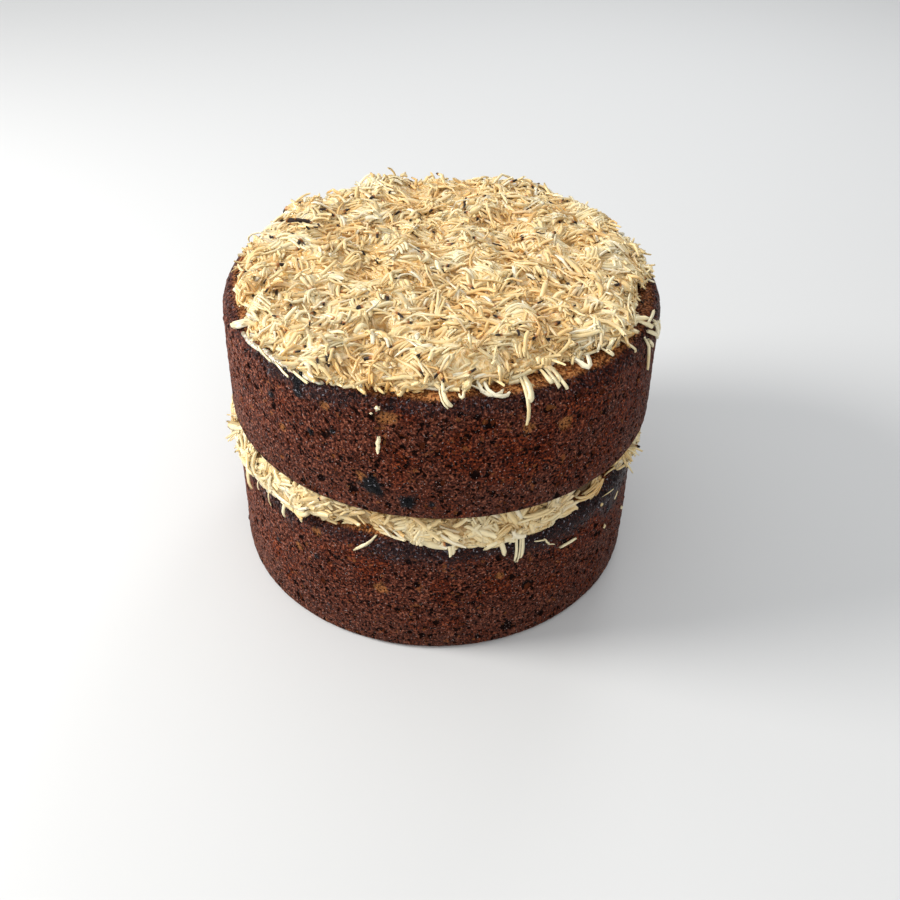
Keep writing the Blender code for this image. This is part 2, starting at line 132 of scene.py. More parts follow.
# The filling's side: (degrees, how full of shreds, how much in shade, how much smooth glaze between them).
FILLING_SIDE = [
    (190, 0.9, 0, 0), (232, 1.0, 0, 0), (240, 0.8, 0, 0.5), (262, 0.8, 0, 0.5), (268, 1.0, 0, 0.1),
    (296, 1.0, 0, 0), (299, 0.5, 0.3, 0.2), (303, 1.0, 0.2, 0.1), (309, 0.6, 0.7, 0.2), (313, 0.15, 1.0, 0.2),
    (318, 0.15, 1.0, 0.2), (322, 0.6, 0.6, 0), (325, 0.15, 1.0, 0.2), (330, 0.2, 1.0, 0.2), (333, 1.0, 0, 0),
    (346, 0.9, 0, 0), (10, 0.6, 0.2, 0.3), (70, 0.9, 0, 0), (120, 0.5, 0.3, 0.8), (160, 0.8, 0, 0.1),
]
# Thin glaze on the upper rim: (degrees from, degrees to, height of the middle, half width, thickness).
UPPER_GLAZE = [
    (211.0, 221.0, 0.1046, 0.001, 0.0007), (219.0, 232.0, 0.1049, 0.0014, 0.0009),
    (230.0, 242.5, 0.1048, 0.0011, 0.0008), (20.0, 28.0, 0.105, 0.001, 0.0009),
    (133.0, 141.0, 0.1052, 0.0011, 0.0009),
]

# How far the glaze's hidden under side lies in the crust.
GLAZE_ROOT = 0.0016

# Shreds that hang over a rim: (degrees at the root, degrees at the tip, height of the tip).
TOPPING_HANGS = [
    (270.0, 272.2, 0.104), (270.9, 272.9, 0.1046), (291.5, 290.6, 0.1035), (290.4, 289.9, 0.0966),
    (244.0, 245.4, 0.1056), (242.4, 244.2, 0.1062), (251.0, 249.4, 0.1062), (262.0, 260.2, 0.106),
    (276.0, 274.8, 0.106), (279.5, 285.4, 0.106), (281.0, 286.6, 0.1057), (299.4, 300.4, 0.1042),
    (298.0, 298.6, 0.105), (299.6, 299.2, 0.1062), (296.6, 297.6, 0.1072), (307.0, 309.0, 0.11),
    (316.0, 317.4, 0.1075), (323.0, 324.4, 0.104), (333.6, 336.0, 0.1045), (237.0, 238.0, 0.1075),
    (210.6, 207.2, 0.1044), (209.4, 206.4, 0.105), (211.8, 208.0, 0.1052),
    (245.6, 245.0, 0.1065), (24.0, 25.0, 0.106), (60.0, 62.0, 0.1045), (96.0, 95.0, 0.107),
    (121.0, 119.0, 0.101), (142.0, 143.0, 0.1068), (160.0, 161.0, 0.1035),
]
FILLING_HANGS = [
    (292.6, 292.0, 0.0387), (291.4, 291.2, 0.0396), (293.2, 292.9, 0.0402), (290.6, 290.0, 0.047),
    (286.6, 288.2, 0.0436), (285.0, 288.6, 0.0444), (274.4, 274.6, 0.0455), (275.2, 275.2, 0.0462),
    (234.6, 234.0, 0.046), (228.6, 227.8, 0.044), (208.0, 209.6, 0.0395), (209.6, 210.8, 0.041),
    (204.0, 204.6, 0.045), (216.4, 215.6, 0.045), (221.0, 222.0, 0.044), (40.0, 41.0, 0.0455),
    (98.0, 100.0, 0.044), (101.0, 101.6, 0.046), (150.0, 151.0, 0.0455), (176.0, 175.0, 0.043),
]
# Loose shreds stuck to a side: (degrees, height) at one end and the other.
UPPER_STUCK = [
    (256.8, 0.093, 256.4, 0.0871), (331.2, 0.104, 333.0, 0.0915), (219.5, 0.1052, 226.0, 0.1044),
    (227.5, 0.1048, 233.0, 0.1034), (233.0, 0.105, 238.5, 0.104),
]
UPPER_CHUNK = [
    (336.0, 0.1052, 343.6, 0.105), (338.0, 0.104, 342.4, 0.1024), (340.0, 0.1042, 339.0, 0.099),
    (342.0, 0.103, 341.4, 0.0975), (334.0, 0.1046, 337.6, 0.1012), (332.4, 0.103, 334.6, 0.099),
]
LOWER_STUCK = [(250.0, 0.0435, 255.3, 0.0489), (250.4, 0.0442, 254.6, 0.0481), (305.0, 0.0373, 311.0, 0.0374)]
LOWER_THREADS = [
    (296.6, 0.0452, 300.2, 0.0442), (299.8, 0.0448, 301.4, 0.0415), (301.0, 0.0418, 303.2, 0.0402),
    (322.0, 0.0465, 327.5, 0.0452), (329.0, 0.0392, 330.6, 0.0412), (62.0, 0.045, 66.0, 0.0462),
]
# Crumbs of coconut stuck to a side: (degrees, height, size).
UPPER_CRUMBS = [(256.4, 0.1023, 0.0015), (255.2, 0.1008, 0.0007)]
LOWER_CRUMBS = [
    (324.3, 0.0305, 0.0014), (338.2, 0.0252, 0.0013), (291.9, 0.0386, 0.001), (321.0, 0.044, 0.001),
]
# Burnt shreds on the heap: (x, y) at one end and the other, and how broad.
CHARRED = [
    (-0.053, 0.0206, -0.0462, 0.0192, 1.9), (-0.05, 0.02, -0.044, 0.0174, 1.3),
    (0.0094, 0.0414, 0.0083, 0.0316, 0.75), (-0.0421, 0.0164, -0.0408, 0.014, 0.7),
    (-0.0427, 0.0127, -0.0412, 0.0119, 0.6), (-0.0354, 0.0189, -0.0348, 0.0172, 0.8),
    (-0.0428, 0.0286, -0.04, 0.028, 0.9), (-0.0574, 0.0078, -0.0555, 0.0066, 0.8),
    (0.0012, -0.0416, 0.003, -0.0424, 0.9), (0.018, 0.006, 0.0215, 0.0052, 0.6),
    (0.033, 0.01, 0.036, 0.0085, 0.5), (0.029, -0.015, 0.0305, -0.0175, 0.6),
]
# Tufts that stick out of the filling: (degrees, height, shreds, reach).
TUFTS = [
    (201.5, 0.0585, 6, 0.0052), (204.0, 0.0545, 5, 0.004),
    (335.0, 0.056, 14, 0.005), (338.5, 0.0575, 8, 0.0036),
]
# How far out the heap's edge and the filling's shreds may reach, and how far the filling's may on the left.
SHREDS_REACH = 0.0765
BULGE_AT, BULGE_HALF, BULGE_REACH = 202, 14, 0.0785
SHREDS_SEED = 21


def smooth(low, high, value):
    part = np.clip((value - low) / (high - low), 0.0, 1.0)
    return part * part * (3 - 2 * part)


def unit(vectors):
    return vectors / np.maximum(np.linalg.norm(vectors, axis=-1, keepdims=True), 1e-9)


def by_degrees(degrees, table, column=1):
    """A column of a table whose rows start with degrees, read all the way round."""
    return np.interp(degrees, *np.transpose(table)[[0, column]], period=360)


def polar(degrees, radius, height):
    angle = np.radians(degrees)
    return np.stack(np.broadcast_arrays(radius * np.cos(angle), radius * np.sin(angle), height), -1)


# Random values that depend on place alone


def scramble(key, seed):
    """Random values from 0 to 1, one for each row of whole numbers."""
    mixed = key[..., 0] * 73856093 ^ key[..., 1] * 19349663 ^ key[..., 2] * 83492791 ^ seed * 2971215073
    mixed = (mixed ^ (mixed >> 13)) * 1274126177 & 0x7FFFFFFF
    mixed = (mixed ^ (mixed >> 15)) * 668265263 & 0x7FFFFFFF
    return mixed / 0x7FFFFFFF


def waves(points, size, seed):
    """Smooth random values from -1 to 1, with features of a size."""
    cells = np.floor(points / size).astype(np.int64)
    part = smooth(0.0, 1.0, points / size - cells)
    total = np.zeros(points.shape[:-1])
    for corner in itertools.product((0, 1), repeat=3):
        share = np.prod(np.where(corner, part, 1 - part), axis=-1)
        total += share * scramble(cells + corner, seed)
    return 2 * total - 1


def pitting(points, size, filled, seed):
    """Depth share, 0 to 1, of round pits scattered in space: at most one in each cell, its radius random."""
    cells = np.floor(points / size).astype(np.int64)
    depth = np.zeros(points.shape[:-1])
    for corner in itertools.product((-1, 0, 1), repeat=3):
        key = cells + corner
        centre = (key + np.stack([scramble(key, seed + axis) for axis in range(3)], -1)) * size
        radius = size * (0.26 + 0.3 * scramble(key, seed + 3))
        hollow = np.clip(1 - np.sum((points - centre) ** 2, -1) / radius**2, 0.0, 1.0)
        depth = np.maximum(depth, hollow * (scramble(key, seed + 4) < filled))
    return depth


# Meshes


def mesh_object(name, points, faces, attributes):
    """A smooth-shaded mesh with named values at its points."""
    mesh = bpy.data.meshes.new(name)
    mesh.from_pydata(points.tolist(), [], faces)
    for key, values in attributes.items():
        told = mesh.attributes.new(key, "FLOAT", "POINT")
        told.data.foreach_set("value", np.ravel(values).astype(np.float32))
    mesh.shade_smooth()
    obj = bpy.data.objects.new(name, mesh)
    bpy.context.scene.collection.objects.link(obj)
    return obj


def ring_faces(rings, columns):
    """Faces between neighbouring rings of points, each ring closed."""
    ring = np.arange(rings - 1)[:, None] * columns
    here = np.arange(columns)[None, :]
    after = (here + 1) % columns
    quads = np.stack([ring + here, ring + columns + here, ring + columns + after, ring + after], -1)
    return quads.reshape(-1, 4).tolist()


def fan_faces(ring_start, columns, middle, flip):
    here = np.arange(columns)
    after = (here + 1) % columns
    ends = (after, here) if flip else (here, after)
    return np.stack([ring_start + ends[0], ring_start + ends[1], np.full(columns, middle)], -1).tolist()


def turned_mesh(name, rings, attributes):
    """A closed solid of rings of points, from the ring round its top's middle to that round its base's."""
    count, columns = rings.shape[:2]
    points = np.concatenate([rings.reshape(-1, 3), [rings[0].mean(0), rings[-1].mean(0)]])
    faces = ring_faces(count, columns)
    faces += fan_faces(0, columns, count * columns, False)
    faces += fan_faces((count - 1) * columns, columns, count * columns + 1, True)
    padded = {key: np.append(np.ravel(values), [0.0, 0.0]) for key, values in attributes.items()}
    return mesh_object(name, points, faces, padded)


def settle(piece, material, node):
    """Gives a piece its material, hangs it under the root body and hides the solid that it takes the place
    of.
    """
    piece.data.materials.append(material)
    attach(piece, "root")
    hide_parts(node)


# Cake layers


class Layer:
    """Place and size of a cake layer, read from its solid."""

    def __init__(self, node):
        low, high = (np.array(corner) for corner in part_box(node))
        self.node = node
        self.middle = np.array([*(low + high)[:2] / 2, 0.0])
        self.base, self.top = low[2], high[2]
        self.height = self.top - self.base
        self.radius = (high[0] - low[0]) / 2 - SIDE_FLARE

    def side(self, height):
        """Radius of the side at a height."""
        past = np.clip(height - (self.top - TOP_ROUND), 0.0, TOP_ROUND)
        flare = SIDE_FLARE * np.clip((self.top - height) / self.height, 0.0, 1.0)
        return self.radius - TOP_ROUND + np.sqrt(TOP_ROUND**2 - past**2) + flare

    def at(self, degrees, out, height):
        """Point by degrees, distance out from the side and height."""
        return polar(degrees, self.side(height) + out, height) + self.middle

    def outline(self):
        """Points (radius, height) from the middle of the top, down the side, to the middle of the base.
        With them comes how far along the outline each of them is."""
        turn = np.linspace(0.0, math.pi / 2, 25)
        top_r = self.radius - TOP_ROUND
        base_r = self.radius + SIDE_FLARE - BASE_ROUND
        round_top = [top_r + TOP_ROUND * np.sin(turn), self.height - TOP_ROUND * (1 - np.cos(turn))]
        round_base = [base_r + BASE_ROUND * np.cos(turn), BASE_ROUND * (1 - np.sin(turn))]
        ends = [(0.0, self.height)], [(0.0, 0.0)]
        line = np.concatenate([ends[0], np.stack(round_top, -1), np.stack(round_base, -1), ends[1]])
        return line, np.append(0.0, np.cumsum(np.hypot(*np.diff(line, axis=0).T)))


def crust_stations(line, along):
    """Where on an outline the crust mesh has its rings, with the outward normal at each."""
    under = along[-2]
    stations = np.concatenate([
        np.linspace(0.002, CRUST_SHOWS_FROM, HIDDEN_RINGS, endpoint=False),
        np.arange(CRUST_SHOWS_FROM, under, CRUST_CELL),
        np.linspace(under, along[-1] - 0.002, HIDDEN_RINGS),
    ])
    near = stations + CRUST_CELL / 2 * np.array([[0], [1], [-1]])
    here, ahead, behind = np.stack([np.interp(near, along, line[:, axis]) for axis in (0, 1)], -1)
    tangent = unit(ahead - behind)
    return here, np.stack([-tangent[:, 1], tangent[:, 0]], -1)


def spots_near(points, layer, places):
    """1 in the middle of a place on the crust, falling to 0 at its ragged edge."""
    share = np.zeros(points.shape[:-1])
    ragged = 1 + 0.35 * waves(points, 0.0016, 71) + 0.2 * waves(points, 0.0008, 72)
    for degrees, height, size in places:
        across = unit((points - layer.middle)[..., :2]) - polar(degrees, 1.0, 0.0)[:2]
        gap = np.hypot(np.linalg.norm(across, axis=-1) * layer.radius, points[..., 2] - height)
        share = np.maximum(share, 1 - smooth(0.7, 1.15, gap * ragged / size))
    return share


def crust(name, layer, dates, patches, band, seed, material):
    """A layer's crust over the form of its solid: pits, waves, date pieces, torn patches and a dark band."""
    here, normal = crust_stations(*layer.outline())
    angle = np.linspace(0, 360, int(2 * math.pi * layer.radius / CRUST_CELL), endpoint=False)[None, :]
    out = polar(angle, normal[:, :1], normal[:, 1:])
    skin = polar(angle, here[:, :1], here[:, 1:]) + layer.middle + [0, 0, layer.base]
    lean = np.broadcast_to(normal[:, 1:], skin.shape[:2]) + 0.1 * waves(skin, 0.012, seed + 60)
    reach = by_degrees(angle, band) * (1 + 0.35 * waves(skin, 0.007, seed + 63))
    below = (layer.top - skin[..., 2]) / reach
    rim = (1 - smooth(0.4, 1.2, below)) * (1 - smooth(0.8, 0.96, lean)) * by_degrees(angle, band, 2)
    top = smooth(0.84, 0.97, lean) * by_degrees(angle, TOP_BAKE)
    lumps = waves(skin, 0.0036, seed + 61) + 0.35 * waves(skin, 0.0013, seed + 62)
    date = np.maximum(spots_near(skin, layer, dates), 0.8 * smooth(0.93, 1.0, lumps) * (1 - top))
    patch = spots_near(skin, layer, patches)
    uneven = skin + 0.0004 * np.stack([waves(skin, 0.0019, seed + 70 + axis) for axis in range(3)], -1)
    depth = np.zeros(skin.shape[:2])
    for number, (size, filled, deep) in enumerate(PITS):
        depth = np.maximum(depth, deep * pitting(uneven, size, filled, seed + 10 * number))
    depth *= 1 - 0.45 * rim - 0.2 * top - 0.5 * date
    bumps = sum(tall * waves(skin, size, seed + 50 + number) for number, (size, tall) in enumerate(WAVES))
    marks = 0.0004 * date * (1 + waves(skin, 0.0013, seed + 64)) - 0.0004 * patch
    relief = bumps - depth + marks - RELIEF_SINK
    relief *= smooth(0.0, 0.003, skin[..., 2] - layer.base)
    attributes = {
        "pit": np.clip(depth / 0.0005, 0, 1), "rim": rim, "top": top, "date": date, "patch": patch,
        # How near the base a point is, which brings in the painted reflection there.
        "low": 1 - smooth(0.0, 0.5, (skin[..., 2] - layer.base) / layer.height),
    }
    settle(turned_mesh(name, skin + out * relief[..., None], attributes), material, layer.node)


# Form of the coconut, read from its solids


class Field:
    """Values on an even grid, read anywhere between its points."""

    def __init__(self, grid, start, step):
        self.grid, self.start, self.step = grid, start, step

    def at(self, u, v):
        """Value between four grid points: the grid's edges go on unchanged outside it."""
        places = [(w - start) / step for w, start, step in zip((u, v), self.start, self.step)]
        lows = [np.clip(np.floor(p).astype(int), 0, size - 2) for p, size in zip(places, self.grid.shape)]
        parts = [np.clip(p - low, 0.0, 1.0) for p, low in zip(places, lows)]
        total = 0.0
        for du, dv in itertools.product((0, 1), repeat=2):
            share = (parts[0] if du else 1 - parts[0]) * (parts[1] if dv else 1 - parts[1])
            total = total + share * self.grid[lows[0] + du, lows[1] + dv]
        return total

    def under(self, points):
        return self.at(points[..., 0], points[..., 1])


def around_each(grid, reach, how):
    """The median or mean of each cell's surroundings, which takes single shreds off a heap."""
    shifts = itertools.product(range(-reach, reach + 1), repeat=2)
    return how([np.roll(grid, shift, axis=(0, 1)) for shift in shifts], axis=0)


def tree_of(node):
    return BVHTree.FromObject(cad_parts[node], bpy.context.evaluated_depsgraph_get())


def bell(points, x, y, radius, low, high):
    """1 round a place on the heap, falling to 0 between two shares of its radius."""
    return 1 - smooth(low, high, np.hypot(points[..., 0] - x, points[..., 1] - y) / radius)


def topping_form(layer):
    """Height of the bare heap, with the flat crust round it, whether a place is inside it (0 to 1) and how
    hollow it is there."""
    tree = tree_of("coconut_topping")
    places = np.arange(-HEAP_REACH, HEAP_REACH + HEAP_CELL / 2, HEAP_CELL)
    heights = np.full((len(places), len(places)), layer.top)
    inside = np.zeros_like(heights)
    for (row, x), (column, y) in itertools.product(enumerate(places), repeat=2):
        hit = tree.ray_cast(Vector((x, y, 0.2)), Vector((0, 0, -1)))[0]
        if hit and hit.z > layer.top and math.hypot(x - layer.middle[0], y - layer.middle[1]) < layer.radius:
            heights[row, column] = hit.z
            inside[row, column] = 1.0
    heights = around_each(heights, 2, np.median)
    spots = np.stack([*np.meshgrid(places, places, indexing="ij"), np.zeros_like(heights)], -1)
    lumps = 0.0021 * waves(spots, 0.0115, 33) + 0.001 * waves(spots, 0.0055, 34)
    for x, y, radius, depth in HOLLOWS:
        lumps -= depth * bell(spots, x, y, radius, 0.6, 1.2)
    for x, y, radius, tall in SWELLS:
        lumps += tall * bell(spots, x, y, radius, 0.3, 1.3)
    heights += (lumps - 0.0003) * smooth(0.001, 0.004, heights - layer.top)
    inside = around_each(around_each(inside, 2, np.median), 1, np.mean)
    hollow = smooth(-0.0003, 0.0014, around_each(heights, 6, np.mean) - heights)
    return [Field(grid, [-HEAP_REACH] * 2, [HEAP_CELL] * 2) for grid in (heights, inside, hollow)]


def heap_edge(layer, inside, degrees, first, step):
    """How far out from the layer's middle the heap reaches."""
    reach = np.arange(first, SHREDS_REACH, step)
    around = polar(degrees[:, None], reach, 0.0) + layer.middle
    return first + step * (inside.under(around) > 0.5).sum(1)


def filling_form(lower, upper):
    """Radius of the bare filling by degrees and height, and the lowest height that it reaches by degrees."""
    tree = tree_of("coconut_filling")
    angles = np.arange(-6.0, 366.5, 0.75)
    heights = np.linspace(lower.top - TOP_ROUND + 0.0003, upper.base - 0.0003, 24)
    radii = np.zeros((len(angles), len(heights)))
    for (row, degrees), (column, height) in itertools.product(enumerate(angles), enumerate(heights)):
        hit = tree.ray_cast(Vector(polar(degrees, 0.1, height)), Vector(polar(degrees, -1.0, 0.0)))[0]
        radii[row, column] = math.hypot(hit.x, hit.y) if hit else 0.0
    radii = around_each(radii, 2, np.median)
    shown = radii > lower.side(heights)[None, :] + 0.0001
    shown |= (radii > 0) & (heights[None, :] > lower.top)
    floor = heights[np.argmax(shown, axis=1)]
    edge = (angles[0], heights[0]), (angles[1] - angles[0], heights[1] - heights[0])
    return Field(np.maximum(radii, 0.064), *edge), Field(np.stack([floor, floor], -1), *edge)


# Shreds


def bent_paths(rng, spots, headings, lengths, bends):
    """Curved paths in a plane, each with its middle at its spot."""
    wander = rng.normal(0, 0.1, (len(spots), SHRED_POINTS))
    turn = headings[:, None] + bends[:, None] * lengths[:, None] * STEPS + wander
    moves = np.stack([np.cos(turn), np.sin(turn)], -1) * (lengths / (SHRED_POINTS - 1))[:, None, None]
    paths = np.cumsum(moves, axis=1)
    return paths - paths.mean(axis=1, keepdims=True) + spots[:, None]


def thread(corners):
    """Evenly shared points on the curve that four points pull."""
    share = np.linspace(0, 1, SHRED_POINTS)[:, None]
    weights = [(1 - share) ** 3, 3 * share * (1 - share) ** 2, 3 * share**2 * (1 - share), share**3]
    return sum(weight * corner for weight, corner in zip(weights, corners))


def shred_set(rng, paths, normals, tones, burnt_share=0.05, broad=1.0, deep=0.0, even=0.26):
    """All that a set of shreds needs to be drawn, a row for each shred."""
    count = len(paths)
    lengths = np.linalg.norm(np.diff(paths, axis=1), axis=-1).sum(1)
    wide = SHRED_WIDTH * broad * np.exp(rng.normal(0, even, count))
    uneven = 1 + rng.uniform(-0.12, 0.12, (count, SHRED_POINTS))
    along = np.linspace(0, 1, SHRED_POINTS)[None]
    along = np.where(rng.random((count, 1)) < 0.5, along, 1 - along)
    burn = 1 - smooth(0.0, 1.0, along * lengths[:, None] / rng.uniform(0.0012, 0.0042, (count, 1)))
    flat = np.where(rng.random((count, 1)) < 0.06, 0.35, rng.uniform(0.52, 0.8, (count, 1)))
    return {
        "paths": paths, "normals": np.broadcast_to(normals, paths.shape),
        "widths": wide[:, None] * SHRED_TAPER * uneven * (1 + 2.2 * np.clip(0.5 - flat, 0, 1)),
        "thickness": wide[:, None] * flat * SHRED_TAPER**0.5,
        "rolls": rng.normal(0, 0.4, (count, 1)) + rng.normal(0, 0.4, (count, 1)) * STEPS,
        "ragged": rng.uniform(-0.35, 0.35, (count, 2, SHRED_SIDES)) * wide[:, None, None],
        "tone": np.broadcast_to(tones[:, None], (count, SHRED_POINTS)),
        "burn": np.where(rng.random((count, 1)) < burnt_share, burn, 0.0),
        "along": along * lengths[:, None] * 1000,
        # Share of painted shade on the shred.
        "deep": np.broadcast_to(deep, (count, SHRED_POINTS)),
        "own": np.repeat(rng.random((count, 1)), SHRED_POINTS, 1),
    }


def joined(*sets):
    return {key: np.concatenate([one[key] for one in sets]) for key in sets[0]}


def strips(name, shreds):
    """One mesh of closed, nearly round strips with torn ends."""
    paths = shreds["paths"]
    count = len(paths)
    ahead = unit(np.gradient(paths, axis=1))
    side = unit(np.cross(ahead, shreds["normals"]))
    up = np.cross(side, ahead)
    roll = shreds["rolls"][:, :, None]
    side, up = side * np.cos(roll) + up * np.sin(roll), up * np.cos(roll) - side * np.sin(roll)
    corner = 2 * math.pi * (np.arange(SHRED_SIDES) + 0.25) / SHRED_SIDES
    wide, deep = np.cos(corner), np.sin(corner)
    offset = side[:, :, None] * wide[:, None] * (shreds["widths"] / 2)[:, :, None, None]
    offset = offset + up[:, :, None] * deep[:, None] * (shreds["thickness"] / 2)[:, :, None, None]
    points = paths[:, :, None] + offset
    points[:, [0, -1]] += ahead[:, [0, -1], None] * shreds["ragged"][..., None]
    each = SHRED_POINTS * SHRED_SIDES
    last = each - SHRED_SIDES
    start = each * np.arange(count)[:, None, None]
    ends = np.array([range(SHRED_SIDES - 1, -1, -1), range(last, each)])
    faces = (np.array(ring_faces(SHRED_POINTS, SHRED_SIDES)) + start).reshape(-1, 4).tolist()
    faces += (ends + start).reshape(-1, SHRED_SIDES).tolist()
    shape = (count, SHRED_POINTS, SHRED_SIDES)
    told = ("tone", "burn", "along", "deep", "own")
    attributes = {key: np.broadcast_to(shreds[key][:, :, None], shape) for key in told}
    attributes["around"] = np.broadcast_to(np.arange(SHRED_SIDES) / SHRED_SIDES, shape)
    return mesh_object(name, points.reshape(-1, 3), faces, attributes)


def shred_lengths(rng, count, long_share):
    """Most shreds are short broken strips, and some are long."""
    kind = rng.random(count)
    lengths = np.where(kind < 0.28, rng.uniform(0.0026, 0.005, count), rng.uniform(0.005, 0.01, count))
    return np.where(kind > 1 - long_share, rng.uniform(0.01, 0.017, count), lengths)


def clumps(rng, leaders, headings, count):
    """Shreds in clumps round leaders: owner, spot and heading of each, and whether its clump is a bundle."""
    owner, order = np.divmod(np.arange(count), CLUMP_SHREDS)
    owner %= len(leaders)
    tight = (rng.random(len(leaders)) < TIGHT_SHARE)[owner]
    turned = headings[owner] + rng.normal(0, 1, count) * np.where(tight, 0.06, 0.35)
    ahead = rng.normal(0, 1, count) * np.where(tight, 0.001, 0.0024)
    row = (order - (CLUMP_SHREDS - 1) / 2) * TIGHT_STEP + rng.normal(0, 0.00015, count)
    aside = np.where(tight, row, rng.normal(0, 0.002, count))
    facing = np.stack([np.cos(headings[owner]), np.sin(headings[owner])], -1)
    across = np.stack([-facing[:, 1], facing[:, 0]], -1)
    return owner, leaders[owner] + facing * ahead[:, None] + across * aside[:, None], turned, tight


def strewn_topping(rng, layer, heights, inside, hollow):
    """Shreds that lie over the heap in clumps."""
    leaders = rng.uniform(-HEAP_REACH, HEAP_REACH, (4 * TOPPING_COUNT, 2))
    leaders = leaders[inside.under(leaders) > 0.6][: TOPPING_COUNT // CLUMP_SHREDS]
    flow = waves(np.concatenate([leaders, np.zeros((len(leaders), 1))], -1), 0.016, 15) * 3.5
    headings = flow + rng.normal(0, 1.1, len(leaders))
    owner, spots, headings, tight = clumps(rng, leaders, headings, TOPPING_COUNT)
    loose = np.where(tight, 0.15, 1.0)
    stringy = smooth(-0.01, 0.05, spots[:, 0]) * smooth(0.02, -0.03, spots[:, 1])
    lengths = shred_lengths(rng, TOPPING_COUNT, 0.12 + 0.12 * stringy)
    lengths = np.where(tight, lengths[owner * CLUMP_SHREDS] * rng.uniform(0.75, 1.1, TOPPING_COUNT), lengths)
    bends = rng.normal(0, 80, len(leaders))[owner] + rng.normal(0, 50, TOPPING_COUNT) * loose
    curly = (rng.random(TOPPING_COUNT) < 0.08 + 0.22 * stringy) & ~tight
    bends = np.where(curly, rng.normal(0, 230, TOPPING_COUNT), bends)
    plan = bent_paths(rng, spots, headings, lengths, bends)
    keep = inside.under(plan).min(1) > 0.12
    for x, y, radius, _ in HOLLOWS:
        over = np.hypot(plan[..., 0] - x, plan[..., 1] - y).min(1) < 0.7 * radius
        keep &= ~over | (rng.random(TOPPING_COUNT) < 0.06)
    owner, plan, headings, tight, loose = owner[keep], plan[keep], headings[keep], tight[keep], loose[keep]
    count = len(plan)
    loose = loose[:, None]

    drape = heights.under(plan)
    level = heights.under(leaders[owner])[:, None]
    away = plan - leaders[owner][:, None]
    heading = np.stack([np.cos(headings), np.sin(headings)], -1)[:, None]
    along = (away * heading).sum(-1)
    across = away[..., 1] * heading[..., 0] - away[..., 0] * heading[..., 1]
    tilt = rng.normal(0, 0.2, len(leaders))[owner][:, None] + rng.normal(0, 0.13, (count, 1)) * loose
    ragged = 0.08 + 0.24 * smooth(0.046, 0.062, np.linalg.norm(plan.mean(1) - layer.middle[:2], axis=-1))
    upright = (rng.random((count, 1)) < ragged[:, None]) & ~tight[:, None]
    tilt = np.where(upright, rng.normal(0, 0.9, (count, 1)), tilt)
    slope = rng.normal(0, 0.22, len(leaders))[owner][:, None]
    rise = rng.uniform(-0.0008, 0.0008, len(leaders))[owner][:, None]
    rise = rise + rng.uniform(-0.0007, 0.0007, (count, 1)) * loose
    bow = rng.uniform(0.0002, 0.0013, len(leaders))[owner][:, None] * (1 - 0.5 * loose)
    bow = bow * (0.6 - 4 * STEPS**2)
    z = 0.7 * drape + 0.3 * level + tilt * along + slope * across + rise + bow
    z = np.clip(z, np.maximum(drape - 0.001, layer.top + 0.0006), drape + np.where(upright, 0.0036, 0.0022))
    paths = np.concatenate([plan, z[..., None]], -1)
    outward = unit((paths - layer.middle) * FLAT)
    edge = 1 - smooth(0.3, 1.0, inside.under(plan))[..., None]
    normals = unit(outward * edge * 0.8 + UP)
    tones = np.clip(rng.beta(2.0, 2.4, len(leaders))[owner] + rng.normal(0, 0.1, count), 0, 1)
    # Painted shade: on shreds that lie low among the others and in the heap's hollows.
    deep = 0.8 * np.clip(-rise / 0.0008, 0, 1) + 0.9 * hollow.under(plan)
    broad, even = np.where(tight, 1.0, 0.97), np.where(tight, 0.14, 0.26)
    return shred_set(rng, paths, normals, tones, 0.11, broad, deep, even)


def charred(rng, heights, places):
    """Burnt shreds lying on the heap."""
    share = np.linspace(0, 1, SHRED_POINTS)[:, None]
    plan = np.array([np.array(place[:2]) * (1 - share) + np.array(place[2:4]) * share for place in places])
    plan += rng.normal(0, 0.00015, plan.shape)
    drape = heights.under(plan)
    z = np.maximum(drape.mean(1, keepdims=True) + 0.0028, drape + 0.0023)
    broad = np.array([place[4] for place in places])
    made = shred_set(rng, np.concatenate([plan, z[..., None]], -1), UP, 0 * broad, 1.0, broad, even=0.05)
    made["burn"] = 1 - 0.75 * np.abs(2 * STEPS) ** 4 + 0 * z
    return made


def edge_shreds(rng, layer, heights, inside, count=620):
    """Shreds banked against the edge of the heap, from the crust up."""
    degrees = rng.uniform(0, 360, count)
    edge = heap_edge(layer, inside, degrees, first=0.05, step=0.0005)
    spots = polar(degrees, edge - rng.uniform(0.0004, 0.0045, count), 0.0)[:, :2] + layer.middle[:2]
    headings = np.radians(degrees) + math.pi / 2 + rng.normal(0, 0.65, count)
    plan = bent_paths(rng, spots, headings, shred_lengths(rng, count, 0.16), rng.normal(0, 70, count))
    away = plan - layer.middle[:2]
    reach = np.linalg.norm(away, axis=-1, keepdims=True)
    plan = layer.middle[:2] + away * np.minimum(reach, layer.radius - 0.0005) / reach
    floor = layer.top + 0.0005
    z = floor + (heights.under(spots)[:, None] - floor) * rng.uniform(0, 1, (count, 1))
    z = z + rng.normal(0, 0.16, (count, 1)) * 0.008 * STEPS
    over = np.linalg.norm(plan - layer.middle[:2], axis=-1) - (layer.radius - TOP_ROUND)
    drop = TOP_ROUND - np.sqrt(np.clip(TOP_ROUND**2 - np.clip(over, 0, TOP_ROUND) ** 2, 0, None))
    z = np.maximum(z, floor - drop)
    z = np.where(over > TOP_ROUND - 0.001, np.maximum(z, layer.top - 0.002), z)
    paths = np.concatenate([plan, z[..., None]], -1)
    outward = polar(degrees, 1.0, 0.0)[:, None]
    tones = np.clip(rng.beta(2.0, 2.8, count), 0, 1)
    return shred_set(rng, paths, unit(0.9 * outward + UP), tones, 0.05)


